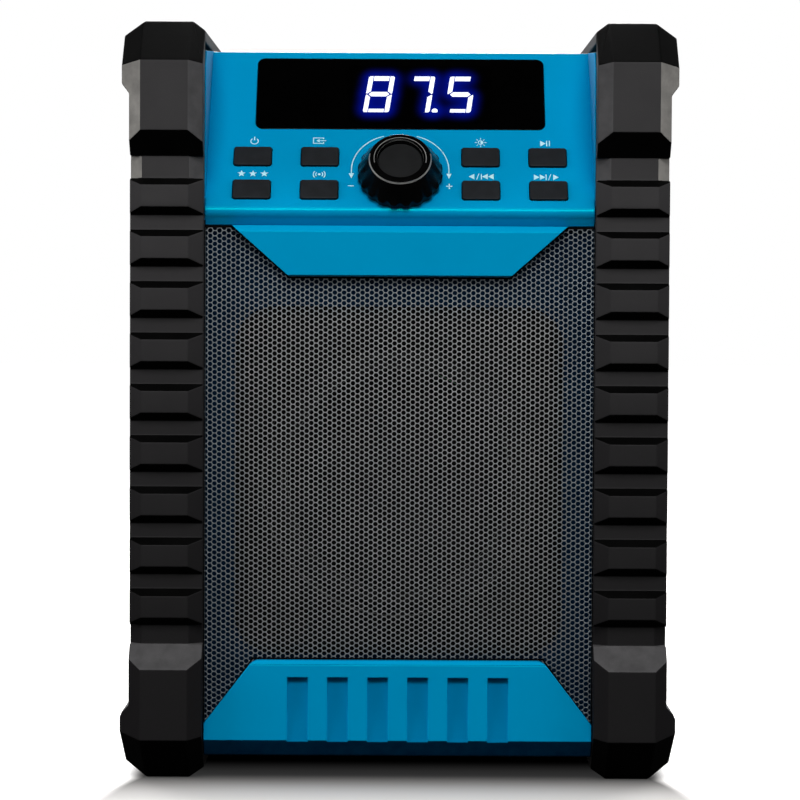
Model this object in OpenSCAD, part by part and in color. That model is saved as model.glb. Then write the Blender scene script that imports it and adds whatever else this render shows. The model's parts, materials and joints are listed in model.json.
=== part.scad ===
// Jobsite radio: a two-part body in rubber side bumpers, with a slanted control panel.
// X runs left to right, the front faces -Y, and the four bumper feet stand on Z = 0.

/* [Body] */
// Width of the body shell
body_w = 196; // [196:1:260]
// Depth of the body shell
body_d = 168; // [168:1:220]
// Height of the body shell
body_h = 275; // [250:1:340]
// Gap under the body
body_lift = 9; // [6:0.5:14]
// Wall of both housings
wall = 3; // [2:0.25:4]
// Gap between fixed pieces that fit together
fit = 0.2; // [0.1:0.05:0.3]
// Gap between pieces that move past each other
run = 0.3; // [0.25:0.05:0.5]
// Distance from the front of the body back to the housing seam
seam_from_front = 74; // [70:1:84]

/* [Bumpers] */
// Width of a bumper seen from the front
bumper_w = 29.4; // [27:0.2:32]
// How far a bumper reaches out beside the body
bumper_out = 9.8; // [8:0.2:13]
// How far the column stands in front of the body
column_out = 8; // [7:0.5:10]
// How far the ribs stand out of the column
rib_out = 4.4; // [3:0.2:6]
// How far the end blocks stand out of the column
block_out = 8; // [6:0.5:10]
// Number of ribs on each column
rib_count = 9; // [6:1:10]
// Height of one rib at its root
rib_h = 14.6; // [10:0.2:15]
// Depth of a column along the side of the body
column_deep = 46; // [36:1:56]
// Thickness of the top rail over the body
rail_h = 21; // [20.5:0.5:26]

/* [Console] */
// Lean of the slanted panel from upright
tilt = 35; // [28:1:38]
// Length of the slanted flat
slope_len = 79.3; // [78:0.5:90]
// Thickness of the panel
panel_t = 3; // [2.4:0.2:4]
// Width of the display window
window_w = 118.6; // [100:1:122]
// Height of the display window
window_h = 37.3; // [32:0.1:38]
// Corner radius of the display window
window_r = 3.2; // [1:0.1:5]
// Width of a key
key_w = 15.1; // [12:0.1:17]
// Height of a key
key_h = 9.2; // [8:0.2:11]
// Key travel
key_travel = 0.6; // [0.4:0.1:0.8]
// Spacing of the two key rows along the slope
key_rows = 16.7; // [14:0.1:18]
// Outer diameter of the knob skirt
knob_d = 34.4; // [28:0.2:36]
// Height of the knob over the panel
knob_h = 11.8; // [10:0.1:14]
// Width of the raised ring round the knob's face
knob_ring = 3; // [2:0.1:4]
// Diameter of the encoder shaft
shaft_d = 6; // [5:0.5:6]

/* [Speaker] */
// Outer diameter of the speaker basket
speaker_d = 127; // [110:1:132]
// Outer diameter of the magnet
magnet_d = 70; // [60:1:80]
// Travel of the cone to each side
cone_travel = 1.5; // [1:0.1:2]
// Thickness of the grille sheet
grille_t = 0.8; // [0.6:0.1:1.2]

/* [Handle] */
// Thickness of the handle bar
bar_h = 12; // [10:0.5:12]
// Reach from the handle's pivot to its bar
handle_reach = 76; // [70:1:78]
// Diameter of the handle pivot pins
handle_pin_d = 6; // [5:0.5:7]

/* [Back] */
// Width of the battery door
door_w = 120; // [100:1:120]
// Height of the battery door
door_h = 100; // [90:1:100]
// Depth of the battery bay
bay_deep = 40; // [34:1:46]
// Width of the socket recess
recess_w = 52; // [48:1:56]
// Height of the socket recess
recess_h = 38; // [34:1:40]
// Bore of the aux socket
aux_d = 3.6; // [3.5:0.05:3.7]
// Diameter of the antenna's outer tube
antenna_d = 7; // [6.4:0.1:8]
// Stowed length of the antenna's outer tube
antenna_len = 138; // [110:1:138]

/* [Hidden] */
$fn = 48;

blue = [0.0, 0.47, 0.66];
black = [0.13, 0.13, 0.13];
charcoal = [0.2, 0.2, 0.22];
steel = [0.72, 0.73, 0.74];
green = [0.1, 0.36, 0.2];

half_w = body_w / 2;
front_y = -body_d / 2;
rear_y = body_d / 2;
floor_z = body_lift;
top_z = body_lift + body_h;
seam_y = front_y + seam_from_front;

// Bumpers
bumper_x1 = half_w + bumper_out;
bumper_x0 = bumper_x1 - bumper_w;
column_f = rear_y + column_out;
block_f = column_f + block_out;
bumper_top = top_z + rail_h;
foot_x = bumper_x1 + 3.8;
ear_x = bumper_x1 + 3.1;
edge_x0 = bumper_x0 + 5.8;
edge_x1 = bumper_x1 - 4.7;
cap_back = 16;
cap_rise = 16.7;
block_face_h = 27.7;
block_under = 9.9;
top_face_z0 = bumper_top - cap_rise - block_face_h;
rib_top_z = top_face_z0 - block_under - 8.9;
rib_pitch = (rib_top_z - rib_h - 62.9) / (rib_count - 1);
column_back = column_f - column_deep;
screw_z = [60, top_z - 52];
screw_y = rear_y - 14;

// Console
console_rise = 12.3;
console_top_z = top_z + console_rise;
lip_y = front_y - 4;
lip_z = console_top_z - slope_len * cos(tilt);
console_top_y = lip_y + slope_len * sin(tilt);
brow_y = console_top_y + 12;
panel_half = bumper_x0 - 0.4;
cheek_t = 2.6;
cheek_front = front_y - 2;
chin_top = lip_z - 8;
lip_r = 4;
chin_h = 20.4;
grille_top = chin_top - 0.3;

// Everything on the slanted panel
knob_u = 15;
row_u = [knob_u + 9.5 - key_rows, knob_u + 9.5];
key_in = knob_d / 2 + 7.8 + key_w / 2;
key_out = key_in + 27.2;
key_x = [-key_out, -key_in, key_in, key_out];
window_u = slope_len - 3.2 - window_h / 2;
key_proud = 0.9;
flange = 1;
board_y = panel_t + 8;
board_t = 1.6;
switch_h = 5;
module_w = 84;
module_h = 28;
module_d = 7;
nut_af_r = 5.5;
bush_r = shaft_d / 2 + 0.9;
knob_gap = 0.5;
knob_face_r = knob_d / 2 - 5;
cap_r = knob_face_r - knob_ring - 0.3;
cap_z = knob_h - 2.6;

// Speaker
speaker_z = floor_z + 112;
baffle_y = front_y + wall;
speaker_hole = speaker_d - 14;
cone_r = speaker_d / 2 - 18.5;
coil_r = 12.5;
grille_y = front_y - 4;
fascia_z0 = floor_z + 1;
grille_bottom = fascia_z0 + 6;
trim_w = 132;
trim_h = 140;
trim_t = 2.5;

// Fascia
fascia_f = front_y - 9;
fascia_h = 38.7;
fascia_top_half = panel_half - 19.7;
fascia_shoulder = 13.2;
slot_w = 8.3;
slot_pitch = 16.1;
slot_top = 6.7;

// Handle
pivot_y = 0;
pivot_z = top_z + 7;
boss_r = 6.5;
arm_w = 10;
arm_x1 = bumper_x0 - 1;
arm_x0 = arm_x1 - arm_w;
lug_w = 6;
lug_x0 = arm_x0 - 0.4 - lug_w;
bar_y = pivot_y + handle_reach;
bar_z = top_z + 13.5;
bar_d = 17;
grip_t = 1.5;
grip_half = arm_x0 - 12;

// Back
door_z0 = floor_z + 13;
door_t = 2.5;
door_y = rear_y + run;
bay_half = door_w / 2 - 4;
bay_z0 = door_z0 + 4;
bay_h = door_h - 8;
bay_y = rear_y - bay_deep;
bay_wall = 2;
hinge_x = -door_w / 2 - 3.4;
hinge_y = door_y + door_t;
knuckle_r = 2.4;
knuckle_l = 16;
pin_r = 1.25;
recess_x = 44;
recess_z0 = floor_z + 138;
recess_deep = 14;
flap_t = 2.2;
flap_y = rear_y + run;
flap_hinge_z = recess_z0 + recess_h + 4;
flap_hinge_y = flap_y + flap_t;
flap_knuckle_r = 1.9;
socket_y = rear_y - recess_deep;
socket_z = recess_z0 + recess_h / 2;
socket_board_y = socket_y - wall - 7;
mast_x = -44;
mast_y = rear_y + 8.5;
mast_z = floor_z + 135;
shelf_z = mast_z - 16;
tube_r = [antenna_d / 2, antenna_d / 2 - 0.58, antenna_d / 2 - 1.18, antenna_d / 2 - 1.78];
tube_wall = 0.52;
post_y = seam_y + 22;
post_x = half_w - 9;
post_z = [floor_z + 13, floor_z + 137, top_z - 16];
post_r = 5.5;
head_r = 3.6;
board_plate_y = rear_y - 56;
board_plate_z = top_z - 22 - 66;

// Base shapes

module along_x(x0, len) {
    translate([x0, 0, 0]) rotate([90, 0, 90]) linear_extrude(len) children();
}

module facing_front(y_back, t) {
    translate([0, y_back, 0]) rotate([90, 0, 0]) linear_extrude(t) children();
}

module box(x0, x1, y0, y1, z0, z1) {
    translate([x0, y0, z0]) cube([x1 - x0, y1 - y0, z1 - z0]);
}

module rod_y(x, z, r, y0, y1) {
    translate([x, y1, z]) rotate([90, 0, 0]) cylinder(r = r, h = y1 - y0);
}

module rod_x(y, z, r, x0, x1) {
    translate([x0, y, z]) rotate([0, 90, 0]) cylinder(r = r, h = x1 - x0);
}

module rounded(w, h, r) {
    square([w - 2 * r, h], center = true);
    square([w, h - 2 * r], center = true);
    for (sx = [-1, 1], sz = [-1, 1])
        translate([sx * (w / 2 - r), sz * (h / 2 - r)]) circle(r = r);
}

module both_sides() {
    children();
    mirror([1, 0, 0]) children();
}

// A block that fills the space beyond a plane through point p with outward normal n
module beyond(p, n) {
    translate(p) rotate([0, acos(n[2] / norm(n)), atan2(n[1], n[0])])
        translate([-80, -80, 0]) cube([160, 160, 60]);
}

// On the slanted panel: z runs up the slope, -y points out of it
module on_panel() {
    translate([0, lip_y, lip_z]) rotate([-tilt, 0, 0]) children();
}

// On the knob's axis: z points out of the panel
module on_knob() {
    on_panel() translate([0, 0, knob_u]) rotate([90, 0, 0]) children();
}

// On the speaker's axis: z points to the front, from the back of the baffle
module on_speaker() {
    translate([0, baffle_y, speaker_z]) rotate([90, 0, 0]) children();
}

// Housings

module shell(y0, y1, open_low, open_high) {
    difference() {
        box(-half_w, half_w, y0, y1, floor_z, top_z);
        box(-half_w + wall, half_w - wall, y0 + (open_low ? -1 : wall),
            y1 - (open_high ? -1 : wall), floor_z + wall, top_z - wall);
    }
}

module posts(y0, y1) {
    for (sx = [-1, 1], z = post_z) rod_y(sx * post_x, z, post_r, y0, y1);
}

module bumper_bosses(y) {
    for (sx = [-1, 1], z = screw_z) rod_x(y, z, 5, sx > 0 ? half_w - 14 : -half_w + wall / 2,
        sx > 0 ? half_w - wall / 2 : -half_w + 14);
}

module bumper_holes(y, r) {
    for (sx = [-1, 1], z = screw_z) rod_x(y, z, r, sx > 0 ? half_w - 12 : -half_w - 1,
        sx > 0 ? half_w + 1 : -half_w + 12);
}

module front_housing() {
    color(blue) difference() {
        union() {
            shell(front_y, seam_y, false, true);
            posts(front_y + 1, seam_y);
            bumper_bosses(-screw_y);
        }
        box(-panel_half - cheek_t - fit, panel_half + cheek_t + fit, front_y - 1, brow_y + fit,
            chin_top, top_z + 1);
        on_speaker() translate([0, 0, -1]) cylinder(r = speaker_hole / 2, h = wall + 2);
        for (sx = [-1, 1], z = post_z) rod_y(sx * post_x, z, 1.55, seam_y - 18, seam_y + 1);
        bumper_holes(-screw_y, 2.05);
        on_speaker() speaker_bolts() translate([0, 0, -1]) cylinder(r = 1.45, h = 3.2);
    }
}

module vent_slots() {
    for (i = [0:6])
        box(recess_x - 24, recess_x + 24, rear_y - wall - 1, rear_y + 1,
            flap_hinge_z + 14 + i * 7, flap_hinge_z + 17 + i * 7);
}

module rear_housing() {
    recess_x0 = recess_x - recess_w / 2;
    recess_x1 = recess_x + recess_w / 2;
    color(black) difference() {
        union() {
            shell(seam_y, rear_y, true, false);
            posts(seam_y, rear_y - 1);
            bumper_bosses(screw_y);
            box(-bay_half - bay_wall, bay_half + bay_wall, bay_y - bay_wall, rear_y - 1,
                bay_z0 - bay_wall, bay_z0 + bay_h + bay_wall);
            box(recess_x0 - wall, recess_x1 + wall, socket_y - wall, rear_y - 1,
                recess_z0 - wall, recess_z0 + recess_h + wall);
            for (sx = [-1, 1], z = [board_plate_z + 5, board_plate_z + 61])
                rod_y(sx * (half_w - 22), z, 4, board_plate_y + board_t, rear_y - 1);
            for (x = [recess_x0 + 4, recess_x1 - 4])
                rod_y(x, socket_z + 15, 2.5, socket_board_y, socket_y - 1);
            both_sides() handle_lug();
            both_sides() box(grip_half - 8, grip_half - 2, bar_y - 4, bar_y + 4,
                top_z - 1, bar_z - bar_h / 2 - grip_t - run);
            for (z = [door_z0 + 4, door_z0 + door_h - 4 - knuckle_l]) {
                box(hinge_x - 1.5, hinge_x + 1.5, rear_y - 1, hinge_y, z, z + knuckle_l);
                translate([hinge_x, hinge_y, z]) cylinder(r = knuckle_r, h = knuckle_l);
            }
            for (sx = [-1, 1]) flap_ear(recess_x + sx * (recess_w / 2 - 1));
            box(mast_x - 3, mast_x + 3, rear_y - 1, mast_y - tube_r[0] - run,
                mast_z + 96, mast_z + 106);
        }
        box(-bay_half, bay_half, bay_y, rear_y + 1, bay_z0, bay_z0 + bay_h);
        box(recess_x0, recess_x1, socket_y, rear_y + 1, recess_z0, recess_z0 + recess_h);
        for (sx = [-1, 1], z = post_z) {
            rod_y(sx * post_x, z, 1.8, seam_y - 1, post_y);
            rod_y(sx * post_x, z, head_r + 0.3, post_y, rear_y + 1);
        }
        bumper_holes(screw_y, 2.05);
        rod_x(pivot_y, pivot_z, handle_pin_d / 2 + 0.02, -arm_x1, arm_x1);
        translate([hinge_x, hinge_y, door_z0]) cylinder(r = pin_r + 0.02, h = door_h);
        rod_x(flap_hinge_y, flap_hinge_z, 1.02, recess_x - recess_w, recess_x + recess_w);
        socket_cut(recess_x + 16, 4.1);
        box(recess_x - 7.2, recess_x + 7.2, socket_y - wall - 1, socket_y + 1,
            socket_z - 3.7, socket_z + 3.7);
        socket_cut(recess_x - 16, 5.1);
        vent_slots();
    }
}

module socket_cut(x, r) {
    rod_y(x, socket_z, r, socket_y - wall - 1, socket_y + 1);
}

module handle_lug() {
    rod_x(pivot_y, pivot_z, boss_r, lug_x0, lug_x0 + lug_w);
    box(lug_x0, lug_x0 + lug_w, pivot_y - boss_r, pivot_y + boss_r, top_z - 1, pivot_z);
}

module flap_ear(x) {
    rod_x(flap_hinge_y, flap_hinge_z, flap_knuckle_r, x - 2, x + 2);
    box(x - 2, x + 2, rear_y - 1, flap_hinge_y, flap_hinge_z - flap_knuckle_r,
        flap_hinge_z + flap_knuckle_r);
}

// Console

// Front outline of the slanted plate, from its top edge round the lip, set in by d
function panel_edge(d) = [
    for (p = [[console_top_y, console_top_z]])
        [p[0] + d / cos(tilt) - d * tan(tilt), p[1] - d],
    for (a = [180 - tilt : 10 : 180 + tilt + 10])
        [lip_y + lip_r * cos(tilt) + (lip_r - d) * cos(a),
         lip_z - lip_r * sin(tilt) + (lip_r - d) * sin(a)],
];

module panel_profile() {
    outer = panel_edge(0);
    inner = panel_edge(panel_t);
    polygon(concat(
        [[brow_y, console_top_z]], outer,
        [[lip_y + 1.6, chin_top + 0.2], [lip_y + 4.6, chin_top + 0.2]],
        [for (i = [len(inner) - 1 : -1 : 0]) inner[i]],
        [[brow_y - panel_t, console_top_z - panel_t], [brow_y - panel_t, top_z - wall],
         [brow_y, top_z - wall]]));
}

module cheek_profile() {
    polygon([[cheek_front, chin_top + 2], [cheek_front, console_top_z - 9.6],
        [cheek_front + 6, console_top_z - 2.7], [console_top_y, console_top_z + 0.3],
        [brow_y, console_top_z + 0.3], [brow_y, console_top_z - 9],
        [lip_y + 9, chin_top + 2]]);
}

module chin_outline() {
    w1 = panel_half - 10.8;
    w0 = w1 - 23;
    polygon([[-w1, chin_top], [w1, chin_top], [w0, chin_top - chin_h], [-w0, chin_top - chin_h]]);
}

module chin_section() {
    f = fascia_f + 1;
    z0 = chin_top - chin_h;
    polygon([[grille_y - 0.4, z0], [f, z0 + 0.6], [f, chin_top - 2.5], [f + 1.4, chin_top],
        [grille_y - 0.4, chin_top]]);
}

module bridge_section() {
    f = fascia_f + 1;
    polygon([[f + 1.4, chin_top - 0.2], [f + 1.4, chin_top], [lip_y + 1.8, chin_top],
        [lip_y + 1.9, chin_top + 1.2], [lip_y + 3.4, chin_top + 1.2], [lip_y + 3.4, chin_top - 0.2]]);
}

module control_panel() {
    color(blue) difference() {
        union() {
            along_x(-panel_half, 2 * panel_half) panel_profile();
            both_sides() along_x(panel_half - 0.01, cheek_t) cheek_profile();
            intersection() {
                along_x(-panel_half, 2 * panel_half) chin_section();
                facing_front(fascia_f + 10, 20) chin_outline();
            }
            along_x(-panel_half + 10.8, 2 * panel_half - 21.6) bridge_section();
            on_panel() for (sx = [-1, 1], u = [4, 32])
                rod_y(sx * (key_in + key_out) / 2, u, 2.5, panel_t - 0.5, board_y);
        }
        on_panel() {
            for (x = key_x, u = row_u)
                translate([x, 0, u]) facing_front(panel_t + 1, panel_t + 3)
                    rounded(key_w + 2 * run, key_h + 2 * run, 1.3);
            translate([0, 0, window_u]) {
                facing_front(2.2, 5) rounded(window_w, window_h, window_r);
                facing_front(panel_t + 1, 5) rounded(window_w - 6, window_h - 6, 1);
            }
            rod_y(0, knob_u, bush_r + fit, -3, panel_t + 1);
        }
    }
}

module key(x, u) {
    on_panel() translate([x, 0, u]) {
        facing_front(panel_t + run, panel_t + run + key_proud) rounded(key_w, key_h, 1);
        facing_front(panel_t + run + flange, flange) rounded(key_w + 3, key_h + 3, 1);
        rod_y(0, 0, 1.5, panel_t + run, board_y - switch_h - key_travel - run);
    }
}

module power_button() { color(charcoal) key(key_x[0], row_u[1]); }
module source_button() { color(charcoal) key(key_x[1], row_u[1]); }
module brightness_button() { color(charcoal) key(key_x[2], row_u[1]); }
module play_button() { color(charcoal) key(key_x[3], row_u[1]); }
module preset_button() { color(charcoal) key(key_x[0], row_u[0]); }
module scan_button() { color(charcoal) key(key_x[1], row_u[0]); }
module previous_button() { color(charcoal) key(key_x[2], row_u[0]); }
module next_button() { color(charcoal) key(key_x[3], row_u[0]); }

module volume_knob() {
    r = knob_d / 2;
    color(black) on_knob() difference() {
        rotate_extrude($fn = 96) polygon([[shaft_d / 2 + 0.02, 3.4], [nut_af_r + 1.2, 3.4],
            [nut_af_r + 1.2, knob_gap], [r - 0.4, knob_gap], [r, knob_gap + 0.4], [r, 2.9],
            [r - 0.5, 3.4], [knob_face_r + 0.5, knob_h - 0.5], [knob_face_r, knob_h],
            [knob_face_r - knob_ring, knob_h], [cap_r + 0.1, cap_z], [shaft_d / 2 + 0.02, cap_z]]);
        for (i = [0:19]) rotate(i * 18)
            translate([r + 1.5, 0, knob_gap - 1]) cylinder(r = 2.3, h = 4.5, $fn = 32);
    }
}

module knob_cap() {
    color(charcoal) on_knob() rotate_extrude($fn = 96) polygon([[0, cap_z], [cap_r, cap_z],
        [cap_r, cap_z + 0.5], [cap_r - 0.3, cap_z + 0.7], [0, cap_z + 0.8]]);
}

module encoder_shaft() {
    color(steel) on_knob() translate([0, 0, -panel_t - 3])
        cylinder(r = shaft_d / 2, h = panel_t + 3 + cap_z - 0.1);
}

module encoder_body() {
    color(charcoal) on_knob() difference() {
        union() {
            translate([-6.5, -6.5, -board_y]) cube([13, 13, board_y - panel_t - fit]);
            translate([0, 0, -panel_t - 1]) cylinder(r = bush_r, h = panel_t + 3);
        }
        translate([0, 0, -panel_t - 3.4]) cylinder(r = shaft_d / 2 + 0.05, h = panel_t + 9);
    }
}

module encoder_nut() {
    color(steel) on_knob() difference() {
        cylinder(r = nut_af_r, h = 1.8, $fn = 6);
        translate([0, 0, -1]) cylinder(r = bush_r + 0.05, h = 4);
    }
}

module control_board() {
    color(green) on_panel() box(-panel_half + 4, panel_half - 4, board_y, board_y + board_t, 1, 35.5);
}

module tact_switches() {
    color(steel) on_panel() for (x = key_x, u = row_u) {
        box(x - 3, x + 3, board_y - 3.5, board_y, u - 3, u + 3);
        rod_y(x, u, 1.7, board_y - switch_h, board_y - 3.5);
    }
}

module display_window() {
    color(black) on_panel() translate([0, 0, window_u]) facing_front(2.2, 2.3)
        rounded(window_w - 2 * fit, window_h - 2 * fit, window_r - fit);
}

module display_module() {
    color(charcoal) on_panel() translate([0, 0, window_u])
        box(-module_w / 2, module_w / 2, 2.3, 2.3 + module_d, -module_h / 2, module_h / 2);
}

module display_board() {
    color(green) on_panel() translate([0, 0, window_u])
        box(-55, 55, 2.3 + module_d, 2.3 + module_d + board_t, -15.5, 15.5);
}

// Grille and fascia

module speaker_grille() {
    color(steel) difference() {
        box(-panel_half, panel_half, grille_y, front_y, grille_bottom, grille_top);
        box(-panel_half + 1, panel_half - 1, grille_y + grille_t, front_y + 1,
            grille_bottom + 1, grille_top - 1);
    }
}

module fascia_outline() {
    z0 = fascia_z0;
    z1 = fascia_z0 + fascia_h;
    r = 5;
    a = atan2(z1 - z0 - fascia_shoulder, panel_half - fascia_top_half);
    t = r * tan(a / 2);
    corner = [for (b = [0 : a / 6 : a + 0.01])
        [fascia_top_half - t + r * sin(b), z1 - r + r * cos(b)]];
    side = concat([[panel_half, z0], [panel_half, z0 + fascia_shoulder]],
        [for (i = [6:-1:0]) corner[i]]);
    polygon(concat(side, [for (i = [len(side) - 1:-1:0]) [-side[i][0], side[i][1]]]));
}

module fascia_section() {
    z0 = fascia_z0;
    z1 = fascia_z0 + fascia_h;
    back = grille_y - 0.1;
    polygon([[back, z1], [fascia_f + 1.6, z1], [fascia_f, z1 - 1.6], [fascia_f, z0 + 6.6],
        [fascia_f + 5, z0], [front_y - fit, z0], [front_y - fit, z0 + 2.4],
        [fascia_f + 5.6, z0 + 2.4], [back, z0 + 5.3]]);
}

module slot_section() {
    z1 = fascia_z0 + fascia_h - slot_top;
    polygon([[fascia_f - 1, z1], [fascia_f + 2.4, z1], [fascia_f + 0.4, fascia_z0 + 5],
        [fascia_f - 1, fascia_z0 + 5]]);
}

module lower_fascia() {
    color(blue) difference() {
        intersection() {
            along_x(-panel_half, 2 * panel_half) fascia_section();
            facing_front(front_y + 1, 20) fascia_outline();
        }
        for (i = [-2.5:1:2.5]) along_x(i * slot_pitch - slot_w / 2, slot_w) slot_section();
    }
}

// Bumpers

module bumper_plan(f, x1) {
    polygon([[bumper_x0, -f + 3.7], [edge_x0, -f], [edge_x1, -f], [x1, -f + 0.71 * (x1 - edge_x1)],
        [x1, -column_back], [bumper_x0, -column_back]]);
}

module rib_comb() {
    back = -column_f + 1;
    f = -column_f - rib_out;
    tips = [for (i = [0:rib_count - 1])
        let (z = rib_top_z - i * rib_pitch)
        [[-column_f, z], [f, z - 2.6], [f, z - rib_h + 3.2], [-column_f, z - rib_h]]];
    polygon(concat([[back, rib_top_z]], [for (t = tips) for (p = t) p],
        [[back, rib_top_z - (rib_count - 1) * rib_pitch - rib_h]]));
}

module column() {
    translate([0, 0, 20]) linear_extrude(bumper_top - 50) bumper_plan(column_f, bumper_x1);
    intersection() {
        linear_extrude(bumper_top) bumper_plan(column_f + rib_out, bumper_x1);
        along_x(bumper_x0 - 1, bumper_w + 2) rib_comb();
    }
}

module top_block() {
    face_z1 = bumper_top - cap_rise;
    difference() {
        intersection() {
            linear_extrude(bumper_top) bumper_plan(block_f, ear_x);
            along_x(bumper_x0 - 1, bumper_w + 20) polygon([[-column_back, top_face_z0 - block_under],
                [-column_f, top_face_z0 - block_under], [-block_f, top_face_z0],
                [-block_f, face_z1], [-block_f + cap_back, bumper_top], [-column_back, bumper_top]]);
            facing_front(0, block_f + 1) polygon([[bumper_x0 - 1, top_z - 40],
                [bumper_x0, bumper_top - 3.6], [bumper_x0 + 4.8, bumper_top],
                [ear_x - 8.6, bumper_top], [ear_x, bumper_top - 5.8], [ear_x, face_z1 - 9.1],
                [bumper_x1, face_z1 - 13.1], [bumper_x1, top_z - 40]]);
        }
        beyond([edge_x1, -block_f, face_z1], [0.56, -0.6, 0.57]);
        beyond([edge_x0, -block_f, face_z1], [-0.52, -0.63, 0.58]);
    }
}

module foot_block() {
    difference() {
        intersection() {
            linear_extrude(80) bumper_plan(block_f, foot_x);
            along_x(bumper_x0 - 1, bumper_w + 20) polygon([[-column_back, 55.2], [-column_f, 55.2],
                [-block_f, 45.8], [-block_f, 17.3], [-block_f + cap_back, 0], [-column_back, 0]]);
            facing_front(0, block_f + 1) polygon([[bumper_x0 + 6, 0], [foot_x - 10.1, 0],
                [foot_x - 1.4, 6.6], [foot_x, 20.6], [foot_x, 25.9], [foot_x - 0.9, 28],
                [bumper_x1, 31.2], [bumper_x1, 60], [bumper_x0, 60], [bumper_x0, 4]]);
        }
        beyond([edge_x1, -block_f, 17.3], [0.59, -0.575, -0.565]);
        beyond([edge_x0, -block_f, 17.3], [-0.52, -0.63, -0.58]);
    }
}

module rails() {
    y = column_back + 1;
    facing_front(y, 2 * y) polygon([[bumper_x0, top_z - 2], [bumper_x0, bumper_top - 3.6],
        [bumper_x0 + 4.8, bumper_top], [bumper_x1 - 5.5, bumper_top], [bumper_x1, bumper_top - 5.8],
        [bumper_x1, top_z - 16], [half_w - 3, top_z - 22], [half_w - 3, top_z - 2]]);
    facing_front(y, 2 * y) polygon([[bumper_x0, floor_z + 2], [bumper_x0, 5], [bumper_x0 + 3, 3],
        [bumper_x1 - 5, 3], [bumper_x1, 8], [bumper_x1, floor_z + 16], [half_w - 3, floor_z + 22],
        [half_w - 3, floor_z + 2]]);
}

module bumper() {
    head_x = half_w + 5;
    difference() {
        union() {
            for (m = [0, 1]) mirror([0, m, 0]) {
                column();
                top_block();
                foot_block();
            }
            rails();
        }
        box(-1, half_w + fit, front_y - fit, rear_y + fit, floor_z - fit, top_z + fit);
        box(-1, panel_half + cheek_t + fit, cheek_front - fit, brow_y + 1, chin_top + 1.8,
            console_top_z + 0.6);
        for (sy = [-1, 1], z = screw_z) {
            rod_x(sy * screw_y, z, 2.2, half_w - 1, half_w + 30);
            rod_x(sy * screw_y, z, 4.4, head_x, half_w + 30);
        }
    }
}

module right_bumper() { color(black) bumper(); }
module left_bumper() { color(black) mirror([1, 0, 0]) bumper(); }

module bumper_screws() {
    x0 = half_w - 11;
    x1 = half_w + 5;
    color(steel) for (sx = [0, 1]) mirror([sx, 0, 0]) for (sy = [-1, 1], z = screw_z)
        difference() {
            union() {
                rod_x(sy * screw_y, z, 2, x0, x1 + 1);
                rod_x(sy * screw_y, z, 3.9, x1, x1 + 2.6);
            }
            translate([x1 + 1.2, sy * screw_y, z]) rotate([0, 90, 0])
                cylinder(r = 1.6, h = 3, $fn = 6);
        }
}

module housing_screws() {
    color(steel) for (sx = [-1, 1], z = post_z) difference() {
        union() {
            rod_y(sx * post_x, z, 1.5, seam_y - 16, post_y + 1);
            rod_y(sx * post_x, z, head_r, post_y, post_y + 2.6);
        }
        translate([sx * post_x, post_y + 4, z]) rotate([90, 0, 0]) cylinder(r = 1.4, h = 2.8, $fn = 6);
    }
}

// Speaker

module speaker_bolts() {
    for (a = [45:90:315]) rotate(a) translate([speaker_d / 2 - 3.5, 0, 0]) children();
}

module speaker_trim() {
    color(black) difference() {
        translate([0, 0, speaker_z]) facing_front(front_y, trim_t) rounded(trim_w, trim_h, 16);
        on_speaker() cylinder(r = speaker_hole / 2 - 1, h = 20);
    }
}

module speaker_basket() {
    r = speaker_d / 2;
    color(charcoal) on_speaker() difference() {
        rotate_extrude() polygon([[r - 8, 0], [r, 0], [r, -2.2], [r - 6.2, -2.2], [r - 6.4, -6.4],
            [magnet_d / 2, -30], [magnet_d / 2, -34], [coil_r + 3, -34], [coil_r + 3, -32],
            [magnet_d / 2 - 3, -32], [r - 12, -8], [r - 12, -3.9], [r - 8, -3.9]]);
        for (i = [0:5]) rotate(i * 60 - 3) translate([0, 0, -28])
            rotate_extrude(angle = 36) translate([magnet_d / 2 - 4, 0]) square([20, 16]);
        speaker_bolts() translate([0, 0, -4]) cylinder(r = 1.7, h = 6);
    }
}

module speaker_magnet() {
    color(black) on_speaker() difference() {
        translate([0, 0, -50]) cylinder(r = magnet_d / 2 - 0.5, h = 16);
        translate([0, 0, -44.5 - cone_travel]) difference() {
            cylinder(r = coil_r + 1.2, h = 20);
            translate([0, 0, -1]) cylinder(r = coil_r - 1.6, h = 22);
        }
    }
}

module speaker_surround() {
    r0 = cone_r + 0.3;
    r1 = speaker_d / 2 - 8.3;
    m = (r0 + r1) / 2;
    roll = (r1 - r0) / 2 - 1.8;
    color(black) on_speaker() translate([0, 0, -3]) rotate_extrude() polygon(concat([[r1, 0]],
        [for (a = [0:15:180]) [m + roll * cos(a), roll * sin(a)]], [[r0, 0], [r0, -0.7]],
        [for (a = [180:-15:0]) [m + (roll - 0.7) * cos(a), (roll - 0.7) * sin(a) - 0.7]],
        [[r1, -0.7]]));
}

module speaker_cone() {
    color(charcoal) on_speaker() rotate_extrude() polygon([[cone_r, -3.2], [cone_r, -4.2],
        [coil_r + 0.1, -25], [coil_r + 0.1, -24], [cone_r - 1, -3.2]]);
}

module dust_cap() {
    big = 22;
    drop = 17.6;
    color(charcoal) on_speaker() translate([0, 0, -23.4 - drop]) rotate_extrude() polygon(concat(
        [for (a = [90:-4:54]) [big * cos(a), big * sin(a)]],
        [for (a = [54:4:90]) [(big - 0.6) * cos(a), (big - 0.6) * sin(a)]]));
}

module voice_coil() {
    color("peru") on_speaker() difference() {
        translate([0, 0, -41]) cylinder(r = coil_r, h = 17.2);
        translate([0, 0, -42]) cylinder(r = coil_r - 0.6, h = 20);
    }
}

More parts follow.
